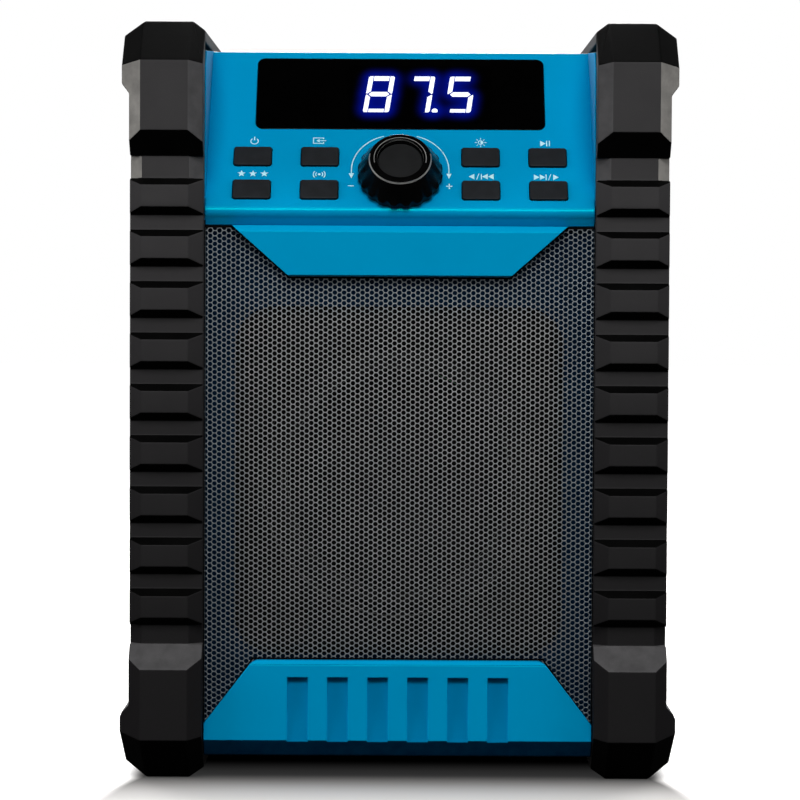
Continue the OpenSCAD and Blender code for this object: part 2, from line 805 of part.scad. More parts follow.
module speaker_screws() {
    color(steel) on_speaker() speaker_bolts() {
        translate([0, 0, -2.6]) cylinder(r = 1.4, h = 4.4);
        translate([0, 0, -4.4]) cylinder(r = 2.5, h = 2.2);
    }
}

// Handle

module arm_profile() {
    low = bar_z - bar_h / 2;
    difference() {
        union() {
            translate([pivot_y, pivot_z]) circle(r = boss_r);
            polygon([[pivot_y, pivot_z + boss_r], [bar_y - 24, pivot_z + boss_r - 1.5],
                [bar_y - 10, low + bar_h], [bar_y, low + bar_h], [bar_y, low],
                [bar_y - 8, low], [bar_y - 20, pivot_z - boss_r + 2.5],
                [pivot_y, pivot_z - boss_r + 2.5]]);
            translate([bar_y, bar_z]) rounded(bar_d, bar_h, 4);
        }
        translate([pivot_y, pivot_z]) circle(r = handle_pin_d / 2 + 0.05);
    }
}

module carry_handle() {
    color(black) {
        both_sides() along_x(arm_x0, arm_w) arm_profile();
        along_x(-arm_x0 - 1, 2 * arm_x0 + 2) translate([bar_y, bar_z]) rounded(bar_d, bar_h, 4);
    }
}

module handle_grip() {
    color(charcoal) difference() {
        along_x(-grip_half, 2 * grip_half) translate([bar_y, bar_z])
            rounded(bar_d + 2 * grip_t, bar_h + 2 * grip_t, 5.2);
        along_x(-grip_half - 1, 2 * grip_half + 2) translate([bar_y, bar_z])
            rounded(bar_d + 0.1, bar_h + 0.1, 4);
    }
}

module handle_pivots() {
    color(steel) both_sides() {
        rod_x(pivot_y, pivot_z, handle_pin_d / 2, lug_x0 - 0.6, arm_x1 - 0.6);
        rod_x(pivot_y, pivot_z, handle_pin_d / 2 + 1.6, lug_x0 - 2.6, lug_x0 - 0.2);
    }
}

// Battery bay

module battery_door() {
    z1 = door_z0 + door_h;
    gap = knuckle_l + 4 + run;
    color(black) difference() {
        union() {
            box(-door_w / 2, door_w / 2, door_y, door_y + door_t, door_z0, z1);
            for (z = [door_z0 + 14 : 12 : z1 - 14])
                box(-door_w / 2 + 12, door_w / 2 - 22, door_y + door_t - 0.5,
                    door_y + door_t + 1, z, z + 4);
            box(door_w / 2 - 14, door_w / 2 - 6, door_y, door_y + door_t + 3,
                door_z0 + door_h / 2 - 14, door_z0 + door_h / 2 + 14);
            box(hinge_x, -door_w / 2 + 1, door_y, door_y + door_t, door_z0 + gap, z1 - gap);
            translate([hinge_x, hinge_y, door_z0 + gap]) cylinder(r = knuckle_r, h = door_h - 2 * gap);
        }
        translate([hinge_x, hinge_y, door_z0]) cylinder(r = pin_r + 0.06, h = door_h);
        for (z = [door_z0 + 4 - run, z1 - 4 - knuckle_l - run])
            translate([hinge_x, hinge_y, z]) cylinder(r = knuckle_r + run, h = knuckle_l + 2 * run);
    }
}

module door_hinge_pin() {
    color(steel) translate([hinge_x, hinge_y, door_z0 + 4]) cylinder(r = pin_r, h = door_h - 8);
}

module battery_springs() {
    color(steel) for (x = [-36, 0, 36]) translate([x, bay_y + bay_deep / 2, bay_z0 + 0.2]) {
        cylinder(r = 9, h = 0.6);
        rotate_extrude() for (i = [0:5]) translate([8 - i * 0.6, 1.2 + i * 1.4]) circle(r = 0.8);
    }
}

module battery_contacts() {
    color(steel) for (x = [-36, 0, 36]) translate([x, bay_y + bay_deep / 2, bay_z0 + bay_h - 0.9]) {
        translate([-9, -9, 0]) cube([18, 18, 0.7]);
        translate([0, 0, -0.6]) cylinder(r = 4, h = 1);
    }
}

// Sockets

module socket_flap() {
    x0 = recess_x - recess_w / 2 - 4;
    x1 = recess_x + recess_w / 2 + 4;
    ear = recess_w / 2 - 3.4;
    color(black) difference() {
        union() {
            box(x0, x1, flap_y, flap_y + flap_t, recess_z0 - 4, flap_hinge_z - flap_knuckle_r - 0.4);
            box(recess_x - ear, recess_x + ear, flap_y, flap_y + flap_t,
                flap_hinge_z - flap_knuckle_r - 1, flap_hinge_z);
            rod_x(flap_hinge_y, flap_hinge_z, flap_knuckle_r, recess_x - ear, recess_x + ear);
            box(recess_x - 9, recess_x + 9, flap_y, flap_y + flap_t + 2.4, recess_z0 - 4, recess_z0);
            for (i = [0:3]) box(x0 + 8, x1 - 8, flap_y + 0.5, flap_y + flap_t + 0.8,
                recess_z0 + 7 + i * 7, recess_z0 + 9.4 + i * 7);
        }
        rod_x(flap_hinge_y, flap_hinge_z, 1.06, x0, x1);
    }
}

module flap_pin() {
    color(steel) rod_x(flap_hinge_y, flap_hinge_z, 1, recess_x - recess_w / 2 - 1,
        recess_x + recess_w / 2 + 1);
}

module socket_board() {
    color(green) box(recess_x - recess_w / 2, recess_x + recess_w / 2, socket_board_y - board_t,
        socket_board_y, socket_z - 17, socket_z + 19);
}

module aux_socket() {
    x = recess_x + 16;
    color(black) difference() {
        union() {
            box(x - 4.5, x + 4.5, socket_board_y, socket_y - wall - fit, socket_z - 4.5, socket_z + 4.5);
            rod_y(x, socket_z, 4, socket_y - wall - 1, socket_y + 1.2);
        }
        rod_y(x, socket_z, aux_d / 2, socket_board_y + 1, socket_y + 3);
    }
}

module usb_socket() {
    color(steel) difference() {
        box(recess_x - 7, recess_x + 7, socket_board_y, socket_y + 0.6, socket_z - 3.5, socket_z + 3.5);
        difference() {
            box(recess_x - 6.3, recess_x + 6.3, socket_board_y + 1.5, socket_y + 2,
                socket_z - 2.8, socket_z + 2.8);
            box(recess_x - 5.5, recess_x + 5.5, socket_board_y, socket_y - 1, socket_z + 0.3,
                socket_z + 2.1);
        }
    }
}

module dc_inlet() {
    x = recess_x - 16;
    color(black) {
        difference() {
            union() {
                box(x - 5.5, x + 5.5, socket_board_y, socket_y - wall - fit,
                    socket_z - 5.5, socket_z + 5.5);
                rod_y(x, socket_z, 5, socket_y - wall - 1, socket_y + 0.8);
            }
            rod_y(x, socket_z, 2.9, socket_board_y + 1.5, socket_y + 3);
        }
        rod_y(x, socket_z, 1, socket_board_y + 1, socket_y - 1);
    }
}

// Antenna

module antenna_bracket() {
    color(black) difference() {
        union() {
            box(mast_x - 9, mast_x + 9, rear_y, mast_y, shelf_z, shelf_z + 6);
            translate([mast_x, mast_y, shelf_z]) cylinder(r = 7, h = 6);
            box(mast_x - 9, mast_x + 9, rear_y, rear_y + 2.4, shelf_z - 3, shelf_z + 12);
        }
        translate([mast_x, mast_y, shelf_z - 1]) cylinder(r = 3.06, h = 8);
    }
}

module antenna_turret() {
    color(charcoal) difference() {
        union() {
            translate([mast_x, mast_y, shelf_z + 6.3]) cylinder(r = 5.6, h = 3);
            translate([mast_x, mast_y, shelf_z + 0.5]) cylinder(r = 3, h = 6);
            translate([mast_x, mast_y, shelf_z - 2.3]) cylinder(r = 4.4, h = 2);
            translate([mast_x, mast_y, shelf_z - 1]) cylinder(r = 3, h = 2);
            for (sx = [-1, 1]) {
                box(mast_x + (sx > 0 ? 2.7 : -4.6), mast_x + (sx > 0 ? 4.6 : -2.7),
                    mast_y - 3, mast_y + 3, shelf_z + 9, mast_z);
                rod_x(mast_y, mast_z, 3, mast_x + (sx > 0 ? 2.7 : -4.6), mast_x + (sx > 0 ? 4.6 : -2.7));
            }
        }
        rod_x(mast_y, mast_z, 1.22, mast_x - 9, mast_x + 9);
    }
}

module antenna_pin() {
    color(steel) rod_x(mast_y, mast_z, 1.2, mast_x - 5, mast_x + 5);
}

module antenna_tube() {
    z0 = mast_z + 5;
    color(steel) {
        difference() {
            union() {
                rod_x(mast_y, mast_z, 2.8, mast_x - 2.4, mast_x + 2.4);
                box(mast_x - 2.4, mast_x + 2.4, mast_y - 2.6, mast_y + 2.6, mast_z, z0 + 1);
                translate([mast_x, mast_y, z0 - 1]) cylinder(r = tube_r[0], h = 4);
            }
            rod_x(mast_y, mast_z, 1.26, mast_x - 9, mast_x + 9);
        }
        translate([mast_x, mast_y, z0 + 2]) difference() {
            cylinder(r = tube_r[0], h = antenna_len - 2);
            translate([0, 0, 1]) cylinder(r = tube_r[0] - tube_wall, h = antenna_len);
        }
    }
}

module hollow_section(i) {
    z0 = mast_z + 5 + 3.3 + 1.3 * (i - 1);
    color(steel) translate([mast_x, mast_y, z0]) difference() {
        cylinder(r = tube_r[i], h = antenna_len + 2 * i - (z0 - mast_z - 5));
        translate([0, 0, 1]) cylinder(r = tube_r[i] - tube_wall, h = antenna_len + 20);
    }
}

module antenna_section_2() { hollow_section(1); }
module antenna_section_3() { hollow_section(2); }

module antenna_tip() {
    z0 = mast_z + 5 + 3.3 + 2.6;
    top = mast_z + 5 + antenna_len + 5;
    color(steel) translate([mast_x, mast_y, 0]) {
        translate([0, 0, z0]) cylinder(r = tube_r[3], h = top - z0);
        translate([0, 0, top]) rotate_extrude() polygon([[0, -0.5], [2.4, -0.5], [3, 0.2],
            [3, 3], [2.2, 4.4], [0, 5]]);
    }
}

// Electronics inside

module main_board() {
    y1 = board_plate_y + board_t;
    color(green) box(-half_w + 14, half_w - 14, board_plate_y, y1, board_plate_z, board_plate_z + 66);
}

module heat_sink() {
    y1 = board_plate_y;
    color(steel) {
        box(-34, 34, y1 - 4, y1, board_plate_z + 20, board_plate_z + 58);
        for (i = [-4:4])
            box(i * 8 - 1, i * 8 + 1, y1 - 18, y1 - 3.5, board_plate_z + 20, board_plate_z + 58);
    }
}

module power_supply() {
    z = floor_z + wall;
    color(charcoal) {
        box(-38, 38, -18, 32, z, z + 4);
        box(-30, -2, -12, 26, z + 3.5, z + 34);
        box(6, 32, -12, 26, z + 3.5, z + 20);
    }
}

module strip(x0, w, pts, t) {
    n = len(pts) - 1;
    along_x(x0, w) polygon(concat(pts, [for (i = [n:-1:0]) [pts[i][0], pts[i][1] + t]]));
}

module ribbon_cable() {
    d = board_y + board_t;
    y0 = lip_y + 20 * sin(tilt) + d * cos(tilt) + 0.8;
    z0 = lip_z + 20 * cos(tilt) - d * sin(tilt);
    color("silver") strip(-24, 22, [[y0, z0], [y0 + 10, z0 - 8], [y0 + 34, z0 - 20],
        [board_plate_y - 30, board_plate_z + 10], [board_plate_y - 10, board_plate_z + 6],
        [board_plate_y, board_plate_z + 6]], 1);
}

module speaker_lead() {
    y0 = baffle_y + 22;
    z0 = speaker_z + magnet_d / 2 + 10;
    color("red") strip(20, 3, [[y0, z0 - 1], [y0 + 14, z0 + 14], [board_plate_y - 16, board_plate_z - 4],
        [board_plate_y - 6, board_plate_z + 3], [board_plate_y, board_plate_z + 3]], 2);
}

front_housing();
rear_housing();
control_panel();
lower_fascia();
speaker_grille();
left_bumper();
right_bumper();
bumper_screws();
housing_screws();
power_button();
source_button();
preset_button();
scan_button();
brightness_button();
play_button();
previous_button();
next_button();
volume_knob();
knob_cap();
encoder_shaft();
encoder_body();
encoder_nut();
control_board();
tact_switches();
display_window();
display_module();
display_board();
speaker_trim();
speaker_basket();
speaker_magnet();
speaker_surround();
speaker_cone();
dust_cap();
voice_coil();
speaker_screws();
carry_handle();
handle_grip();
handle_pivots();
battery_door();
door_hinge_pin();
battery_springs();
battery_contacts();
socket_flap();
flap_pin();
socket_board();
aux_socket();
usb_socket();
dc_inlet();
antenna_bracket();
antenna_turret();
antenna_pin();
antenna_tube();
antenna_section_2();
antenna_section_3();
antenna_tip();
main_board();
heat_sink();
power_supply();
ribbon_cable();
speaker_lead();
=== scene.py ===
import json
import math
import bmesh
import bpy
from mathutils import Matrix, Vector


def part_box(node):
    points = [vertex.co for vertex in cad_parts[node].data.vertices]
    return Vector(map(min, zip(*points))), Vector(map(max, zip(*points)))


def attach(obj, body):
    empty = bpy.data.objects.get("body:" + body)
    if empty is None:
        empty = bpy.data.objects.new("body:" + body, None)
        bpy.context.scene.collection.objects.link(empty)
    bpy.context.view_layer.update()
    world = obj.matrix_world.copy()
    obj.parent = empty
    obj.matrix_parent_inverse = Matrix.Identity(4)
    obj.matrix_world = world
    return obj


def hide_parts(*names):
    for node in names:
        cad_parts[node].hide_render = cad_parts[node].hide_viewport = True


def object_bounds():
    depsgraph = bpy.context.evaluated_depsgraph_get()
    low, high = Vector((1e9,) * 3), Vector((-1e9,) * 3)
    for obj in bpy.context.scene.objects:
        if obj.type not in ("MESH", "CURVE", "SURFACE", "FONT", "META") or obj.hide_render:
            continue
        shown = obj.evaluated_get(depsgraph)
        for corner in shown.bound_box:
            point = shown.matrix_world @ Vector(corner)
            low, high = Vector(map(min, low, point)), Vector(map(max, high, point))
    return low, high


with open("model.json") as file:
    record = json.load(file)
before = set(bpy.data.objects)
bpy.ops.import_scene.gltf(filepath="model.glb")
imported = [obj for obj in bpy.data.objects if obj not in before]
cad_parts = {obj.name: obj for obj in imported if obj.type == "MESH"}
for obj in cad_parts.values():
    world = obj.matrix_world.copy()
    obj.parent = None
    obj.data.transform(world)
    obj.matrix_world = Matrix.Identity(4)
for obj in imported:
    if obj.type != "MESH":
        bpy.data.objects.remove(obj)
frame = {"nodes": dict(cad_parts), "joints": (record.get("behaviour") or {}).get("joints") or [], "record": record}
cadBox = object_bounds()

mm = 0.001
scene = bpy.context.scene
nodes = frame["nodes"]
joints = {joint["name"]: joint for joint in frame["joints"]}
bodyOf = {node: body for body, group in frame["record"]["behaviour"]["bodies"].items() for node in group}

studio = {
    "focalLength": 123.75,           # mm, on the 36 mm sensor
    "distance": 1100,                # mm from the front of the bumpers' columns
    "columnsBehind": 8,              # mm from the foremost point back to them
    "eyeHeight": 197.7,              # mm above the floor
    "lookDown": 2.29,                # degrees
    "sidestep": 0.4,                 # mm to the right
    "roll": 0.285,                   # degrees
    "floorColour": "#DFDCDA",
    # The painted contact shadow round the body: its colour, the size of its darkest part and its soft edge
    "contactColour": "#080808",
    "contactHalf": (0.101, 0.072),   # m, half the width and depth of the darkest part
    "contactReach": (0.009, 0.064),
    "hazeHalf": (0.101, 0.042),      # the same, for a faint light painted in under the front
    "hazeReach": (0.009, 0.043),
    "haze": 0.032,
    "whiteHalf": (0.104, 0.125),     # where the paper begins to whiten to the sides and to the front
    "whiteReach": (0.009, 0.060),
    "splay": (0.088, 0.188, 0.018),  # m in front, where the shadow starts and stops to widen; by how much
    "floorBounce": "#303030",        # the floor as the object sees it, so that its undersides stay dark
    "skyForDiffuse": 0.08,
    "skyForGloss": (0.05, 0.02),     # at eye level and overhead
    "skyHeights": (0.10, 0.65),      # how steeply up it starts and stops to darken: 1 is straight up
    "paperDirections": (0.3, 0.8),   # how squarely backwards a mirror has to look to show the white paper
    "paperFloor": 0.4,               # m behind the middle, where mirrors show the floor as pale as it is
    "floorHalf": 6,                  # m
}


def linearColour(code):
    channels = [int(code[i:i + 2], 16) / 255 for i in (1, 3, 5)]
    return tuple(c / 12.92 if c <= 0.04045 else ((c + 0.055) / 1.055) ** 2.4 for c in channels) + (1.0,)


def addNode(tree, kind, sockets=None, **settings):
    node = tree.nodes.new(kind)
    for name, value in settings.items():
        setattr(node, name, value)
    for name, value in (sockets or {}).items():
        if isinstance(value, bpy.types.NodeSocket):
            tree.links.new(value, node.inputs[name])
        else:
            node.inputs[name].default_value = value
    return node


def makeCamera():
    camera = bpy.data.objects.new("camera", bpy.data.cameras.new("camera"))
    camera.data.lens = studio["focalLength"]
    front = cadBox[0][1] + studio["columnsBehind"] * mm
    camera.location = (studio["sidestep"] * mm, front - studio["distance"] * mm, studio["eyeHeight"] * mm)
    tip, roll = math.radians(90 - studio["lookDown"]), math.radians(studio["roll"])
    camera.rotation_euler = (Matrix.Rotation(tip, 3, "X") @ Matrix.Rotation(roll, 3, "Z")).to_euler()
    scene.collection.objects.link(camera)
    scene.camera = camera


def makeLight(name, place, aim, width, height, watts, seenBy):
    light = bpy.data.lights.new(name, "AREA")
    light.shape = "RECTANGLE"
    light.size = width
    light.size_y = height
    light.energy = watts
    lamp = bpy.data.objects.new(name, light)
    lamp.location = place
    lamp.rotation_euler = (Vector(aim) - Vector(place)).to_track_quat("-Z", "Y").to_euler()
    lamp.visible_diffuse = seenBy == "diffuse"
    lamp.visible_glossy = seenBy == "gloss"
    scene.collection.objects.link(lamp)


def makeWorld():
    world = bpy.data.worlds.new("paperStudio")
    scene.world = world
    world.use_nodes = True
    tree = world.node_tree
    tree.nodes.clear()
    ray = addNode(tree, "ShaderNodeLightPath")
    place = addNode(tree, "ShaderNodeTexCoord")
    height = addNode(tree, "ShaderNodeSeparateXYZ", {"Vector": place.outputs["Generated"]})
    # The reflected room is pale paper at eye level and falls off to a dark ceiling
    darkFrom, darkTo = studio["skyHeights"]
    room = addNode(tree, "ShaderNodeMapRange", {
        "Value": height.outputs["Z"], "From Min": darkFrom, "From Max": darkTo,
        "To Min": studio["skyForGloss"][0], "To Max": studio["skyForGloss"][1]})
    unseen = addNode(tree, "ShaderNodeMix", {0: ray.outputs["Is Glossy Ray"], 2: studio["skyForDiffuse"],
                                             3: room.outputs["Result"]})
    # Behind the radio hangs the white paper, and whatever mirrors that side shows it
    behind = addNode(tree, "ShaderNodeMapRange", {
        "Value": height.outputs["Y"], "From Min": studio["paperDirections"][0],
        "From Max": studio["paperDirections"][1]})
    mirrored = addNode(tree, "ShaderNodeMath", {0: ray.outputs["Is Glossy Ray"], 1: behind.outputs["Result"]},
                       operation="MULTIPLY")
    through = addNode(tree, "ShaderNodeMath", {0: mirrored.outputs[0], 1: ray.outputs["Is Transmission Ray"]},
                      operation="MAXIMUM")
    clear = addNode(tree, "ShaderNodeMath", {0: ray.outputs["Is Camera Ray"], 1: through.outputs[0]},
                    operation="MAXIMUM")
    strength = addNode(tree, "ShaderNodeMix", {0: clear.outputs[0], 2: unseen.outputs[0], 3: 1.0})
    sky = addNode(tree, "ShaderNodeBackground", {"Color": (1, 1, 1, 1), "Strength": strength.outputs[0]})
    addNode(tree, "ShaderNodeOutputWorld", {"Surface": sky.outputs["Background"]})


def makeFloor():
    material = bpy.data.materials.new("seamlessPaper")
    material.use_nodes = True
    tree = material.node_tree
    tree.nodes.clear()
    ray = addNode(tree, "ShaderNodeLightPath")
    place = addNode(tree, "ShaderNodeTexCoord")
    turned = addNode(tree, "ShaderNodeVectorMath", {0: place.outputs["Object"]}, operation="ABSOLUTE")
    fromMiddle = addNode(tree, "ShaderNodeSeparateXYZ", {"Vector": turned.outputs["Vector"]}).outputs
    splayFrom, splayTo, splay = studio["splay"]
    widening = addNode(tree, "ShaderNodeMapRange", {
        "Value": fromMiddle["Y"], "From Min": splayFrom, "From Max": splayTo, "To Max": splay})
    sideways = addNode(tree, "ShaderNodeMath", {0: fromMiddle["X"], 1: widening.outputs["Result"]},
                       operation="SUBTRACT").outputs[0]

    def clearOf(area):
        # 0 inside the rectangle round the radio, 1 once clear of it
        ways = []
        halves, reaches = studio[area + "Half"], studio[area + "Reach"]
        for away, half, reach in zip((sideways, fromMiddle["Y"]), halves, reaches):
            past = addNode(tree, "ShaderNodeMapRange", {
                "Value": away, "From Min": half, "From Max": half + reach}, interpolation_type="SMOOTHSTEP")
            ways.append(past.outputs["Result"])
        return addNode(tree, "ShaderNodeMath", {0: ways[0], 1: ways[1]}, operation="MAXIMUM").outputs[0]

    # A painted contact shadow: the paper darkens softly towards the body
    seen = addNode(tree, "ShaderNodeMix", {
        0: clearOf("contact"), 6: linearColour(studio["contactColour"]),
        7: linearColour(studio["floorColour"])}, data_type="RGBA")
    # A faint painted light lifts the shadow under the front
    haze = addNode(tree, "ShaderNodeMath", {0: clearOf("haze"), 1: studio["haze"]}, operation="MULTIPLY")
    rise = addNode(tree, "ShaderNodeMix", {0: clearOf("white"), 2: haze.outputs[0], 3: 1.0})
    depth = addNode(tree, "ShaderNodeSeparateXYZ", {"Vector": place.outputs["Object"]})
    behind = addNode(tree, "ShaderNodeMapRange", {
        "Value": depth.outputs["Y"], "From Max": studio["paperFloor"]})
    mirrored = addNode(tree, "ShaderNodeMath", {0: ray.outputs["Is Glossy Ray"], 1: behind.outputs["Result"]},
                       operation="MULTIPLY")
    shown = addNode(tree, "ShaderNodeMath", {0: ray.outputs["Is Camera Ray"], 1: mirrored.outputs[0]},
                    operation="MAXIMUM")
    paper = addNode(tree, "ShaderNodeMix", {
        0: shown.outputs[0], 6: linearColour(studio["floorBounce"]), 7: seen.outputs[2]}, data_type="RGBA")
    matt = addNode(tree, "ShaderNodeBsdfDiffuse", {"Color": paper.outputs[2]})
    lift = addNode(tree, "ShaderNodeMath", {0: ray.outputs["Is Camera Ray"], 1: rise.outputs[0]},
                   operation="MULTIPLY")
    glow = addNode(tree, "ShaderNodeEmission", {"Color": (1, 1, 1, 1), "Strength": lift.outputs[0]})
    both = addNode(tree, "ShaderNodeAddShader", {0: matt.outputs[0], 1: glow.outputs[0]})
    addNode(tree, "ShaderNodeOutputMaterial", {"Surface": both.outputs[0]})
    shape = bmesh.new()
    bmesh.ops.create_grid(shape, x_segments=2, y_segments=2, size=studio["floorHalf"])
    mesh = bpy.data.meshes.new("floor")
    shape.to_mesh(mesh)
    shape.free()
    mesh.materials.append(material)
    floor = bpy.data.objects.new("floor", mesh)
    scene.collection.objects.link(floor)


lamps = {
    # Place and aim, width and height, all in m, then watts and the kind of ray that sees the lamp
    "frontKey": ((0, -1.54, 1.72), (0, 0, 0.17), 1.1, 0.6, 34, "diffuse"),
    "frontStrip": ((0, -1.62, 0.92), (0, 0, 0.22), 1.4, 0.26, 28, "gloss"),
    "leftStrip": ((-1.25, -0.42, 0.35), (0, -0.05, 0.2), 0.35, 1.0, 12, "diffuse"),
    "rightStrip": ((1.25, -0.42, 0.35), (0, -0.05, 0.2), 0.35, 1.0, 8, "diffuse"),
    "backSoftbox": ((0, 1.05, 1.35), (0, 0, 0), 0.4, 0.5, 78, "gloss"),
    "leftRearFill": ((-0.85, 1.0, 0.6), (0, 0, 0.15), 0.6, 0.6, 13, "diffuse"),
    "rightRearFill": ((0.85, 1.0, 0.6), (0, 0, 0.15), 0.6, 0.6, 13, "diffuse"),
}

scene.view_settings.view_transform = "Standard"
makeCamera()
makeWorld()
makeFloor()
for lampName, lampValues in lamps.items():
    makeLight(lampName, *lampValues)
print("studio ready")


def newMaterial(name, **shader):
    material = bpy.data.materials.new(name)
    material.use_nodes = True
    principled = material.node_tree.nodes["Principled BSDF"]
    for socket, value in shader.items():
        principled.inputs[socket.replace("_", " ")].default_value = value
    return material, material.node_tree, principled


def addPattern(tree, principled, pattern, first, second, depth=0, socket="Base Color"):
    # The pattern blends two colours and, with a depth in mm, raises the surface
    if depth:
        bump = addNode(tree, "ShaderNodeBump", {"Height": pattern, "Distance": depth * mm})
        tree.links.new(bump.outputs["Normal"], principled.inputs["Normal"])
    tone = addNode(tree, "ShaderNodeMix", {0: pattern, 6: linearColour(first), 7: linearColour(second)},
                   data_type="RGBA")
    tree.links.new(tone.outputs[2], principled.inputs[socket])


def addGrain(tree, principled, grainWidth, depth, mottle=None):
    # A moulded grain: its width and depth are in mm, and mottle is two colours and the width of its patches
    place = addNode(tree, "ShaderNodeTexCoord").outputs["Object"]
    grain = addNode(tree, "ShaderNodeTexNoise", {
        "Vector": place, "Scale": 1 / (grainWidth * mm), "Detail": 3.0, "Roughness": 0.6})
    bump = addNode(tree, "ShaderNodeBump", {"Height": grain.outputs["Fac"], "Distance": depth * mm})
    tree.links.new(bump.outputs["Normal"], principled.inputs["Normal"])
    if mottle:
        first, second, patch = mottle
        cloud = addNode(tree, "ShaderNodeTexNoise", {
            "Vector": place, "Scale": 1 / (patch * mm), "Detail": 5.0, "Roughness": 0.6})
        # The noise seldom leaves this range
        spread = addNode(tree, "ShaderNodeMapRange", {
            "Value": cloud.outputs["Fac"], "From Min": 0.35, "From Max": 0.65})
        addPattern(tree, principled, spread.outputs["Result"], first, second)
    return place


def waveScale(spacing):
    # A wave texture at scale 1 has bands 1/20 m apart; the spacing is in mm
    return 1 / (20 * spacing * mm)


paintedNookShade = {
    "reach": 9,                      # mm to the other face
    "samples": 6,
    "open": (0.35, 0.92),            # how much of the sky is open where the shade is full and where it ends
    "colour": "#0076AC",
}


def blueAbs():
    # Injection moulded ABS, semi gloss: an even blue with soft, slightly broken highlights
    # The pigment shows in the highlights too, which stay cyan. Close to another face it is painted a soft shade
    material, tree, principled = newMaterial("blueAbs", Roughness=0.25, IOR=1.53, Specular_IOR_Level=0.36,
                                             Specular_Tint=linearColour("#00FFEE"))
    addGrain(tree, principled, 0.5, 0.004, ("#0090C3", "#0094C7", 45))
    # Painted shade: where little of the sky is open, the colour turns to the darker blue
    nook = addNode(tree, "ShaderNodeAmbientOcclusion", {"Distance": paintedNookShade["reach"] * mm},
                   samples=paintedNookShade["samples"])
    clear = addNode(tree, "ShaderNodeMapRange", {
        "Value": nook.outputs["AO"], "From Min": paintedNookShade["open"][0], "From Max": paintedNookShade["open"][1]})
    even = principled.inputs["Base Color"].links[0].from_socket
    tone = addNode(tree, "ShaderNodeMix", {
        0: clear.outputs["Result"], 6: linearColour(paintedNookShade["colour"]), 7: even}, data_type="RGBA")
    tree.links.new(tone.outputs[2], principled.inputs["Base Color"])
    return material


def mattAbs():
    # The same ABS where the mould was spark eroded, so that facing walls don't shine at each other. Its darker
    # blue is painted shade, on the cheek walls and the slot floors
    material, tree, principled = newMaterial("mattAbs", Roughness=0.75, IOR=1.53, Specular_IOR_Level=0.1,
                                             Specular_Tint=linearColour("#00FFEE"))
    addGrain(tree, principled, 0.5, 0.02, ("#0078AC", "#007CB0", 20))
    return material


def sprayedFront():
    # The shell's front wall where the grille covers it, a matt dark navy: painted shade behind the sheet
    material, tree, principled = newMaterial("sprayedFront", Roughness=0.7, IOR=1.5,
                                             Specular_Tint=linearColour("#3060A0"))
    addGrain(tree, principled, 0.5, 0.03, ("#061A2A", "#0A2236", 20))
    return material


def grimyAbs():
    # The blue moulding's underside, a very dark blue: painted shade on the faces that look down
    material, tree, principled = newMaterial("grimyAbs", Roughness=0.6, IOR=1.53,
                                             Specular_Tint=linearColour("#00AACC"))
    addGrain(tree, principled, 0.6, 0.02, ("#00325A", "#004068", 6))
    return material


rubberTonesAndFalloff = {
    # The two colours of the mottle low down, in the middle and high up, and the heights between, in m.
    # Darker downwards: a painted falloff of the light from above
    "foot": ("#131213", "#171617"),
    "footToMiddle": (0.060, 0.150),
    "middle": ("#1C1B1C", "#222122"),
    "middleToTop": (0.140, 0.235),
    "top": ("#2D2C2D", "#363536"),
}


def grainedRubber():
    # Moulded rubber with a fine spark texture: dark grey, greyer where the grain catches the light, and
    # painted darker towards the feet, as shade where the light from above falls off
    material, tree, principled = newMaterial("grainedRubber", Roughness=0.62, IOR=1.52,
                                             Specular_IOR_Level=0.12)
    place = addGrain(tree, principled, 0.45, 0.05)
    height = addNode(tree, "ShaderNodeSeparateXYZ", {"Vector": place}).outputs["Z"]
    cloud = addNode(tree, "ShaderNodeTexNoise", {"Vector": place, "Scale": 1 / (14 * mm), "Detail": 5.0})
    tone = None
    for zone, climb in (("foot", None), ("middle", "footToMiddle"), ("top", "middleToTop")):
        dark, pale = rubberTonesAndFalloff[zone]
        mottled = addNode(tree, "ShaderNodeMix", {
            0: cloud.outputs["Fac"], 6: linearColour(dark), 7: linearColour(pale)}, data_type="RGBA")
        if tone is None:
            tone = mottled
            continue
        low, high = rubberTonesAndFalloff[climb]
        rise = addNode(tree, "ShaderNodeMapRange", {"Value": height, "From Min": low, "From Max": high})
        tone = addNode(tree, "ShaderNodeMix", {
            0: rise.outputs["Result"], 6: tone.outputs[2], 7: mottled.outputs[2]}, data_type="RGBA")
    tree.links.new(tone.outputs[2], principled.inputs["Base Color"])
    return material


def scuffedRubber():
    # The rubber painted a paler grey as light, on the feet's top slopes and the top blocks' inner slants
    material, tree, principled = newMaterial("scuffedRubber", Roughness=0.7, IOR=1.52)
    addGrain(tree, principled, 0.5, 0.06, ("#343334", "#424142", 7))
    return material


def smoothRubber():
    # The same rubber, smoother: nearly black, with a dull sheen. The black is painted shade on the undersides,
    # the ribs' top slopes and the caps
    material, tree, principled = newMaterial("smoothRubber", Roughness=0.5, IOR=1.52, Specular_IOR_Level=0.03)
    addGrain(tree, principled, 0.6, 0.01, ("#040404", "#070707", 20))
    return material


def wornRubber():
    # The outer slants of the top blocks, painted pale as the light from the side
    material, tree, principled = newMaterial("wornRubber", Roughness=0.7, IOR=1.52)
    addGrain(tree, principled, 0.5, 0.05, ("#686663", "#817F7B", 9))
    return material


def blackAbs():
    # Injection moulded ABS with a fine spark texture: matt black that shows the light as a broad haze
    material, tree, principled = newMaterial("blackAbs", Roughness=0.55, IOR=1.53)
    addGrain(tree, principled, 0.4, 0.03, ("#1B1C1D", "#222324", 18))
    return material


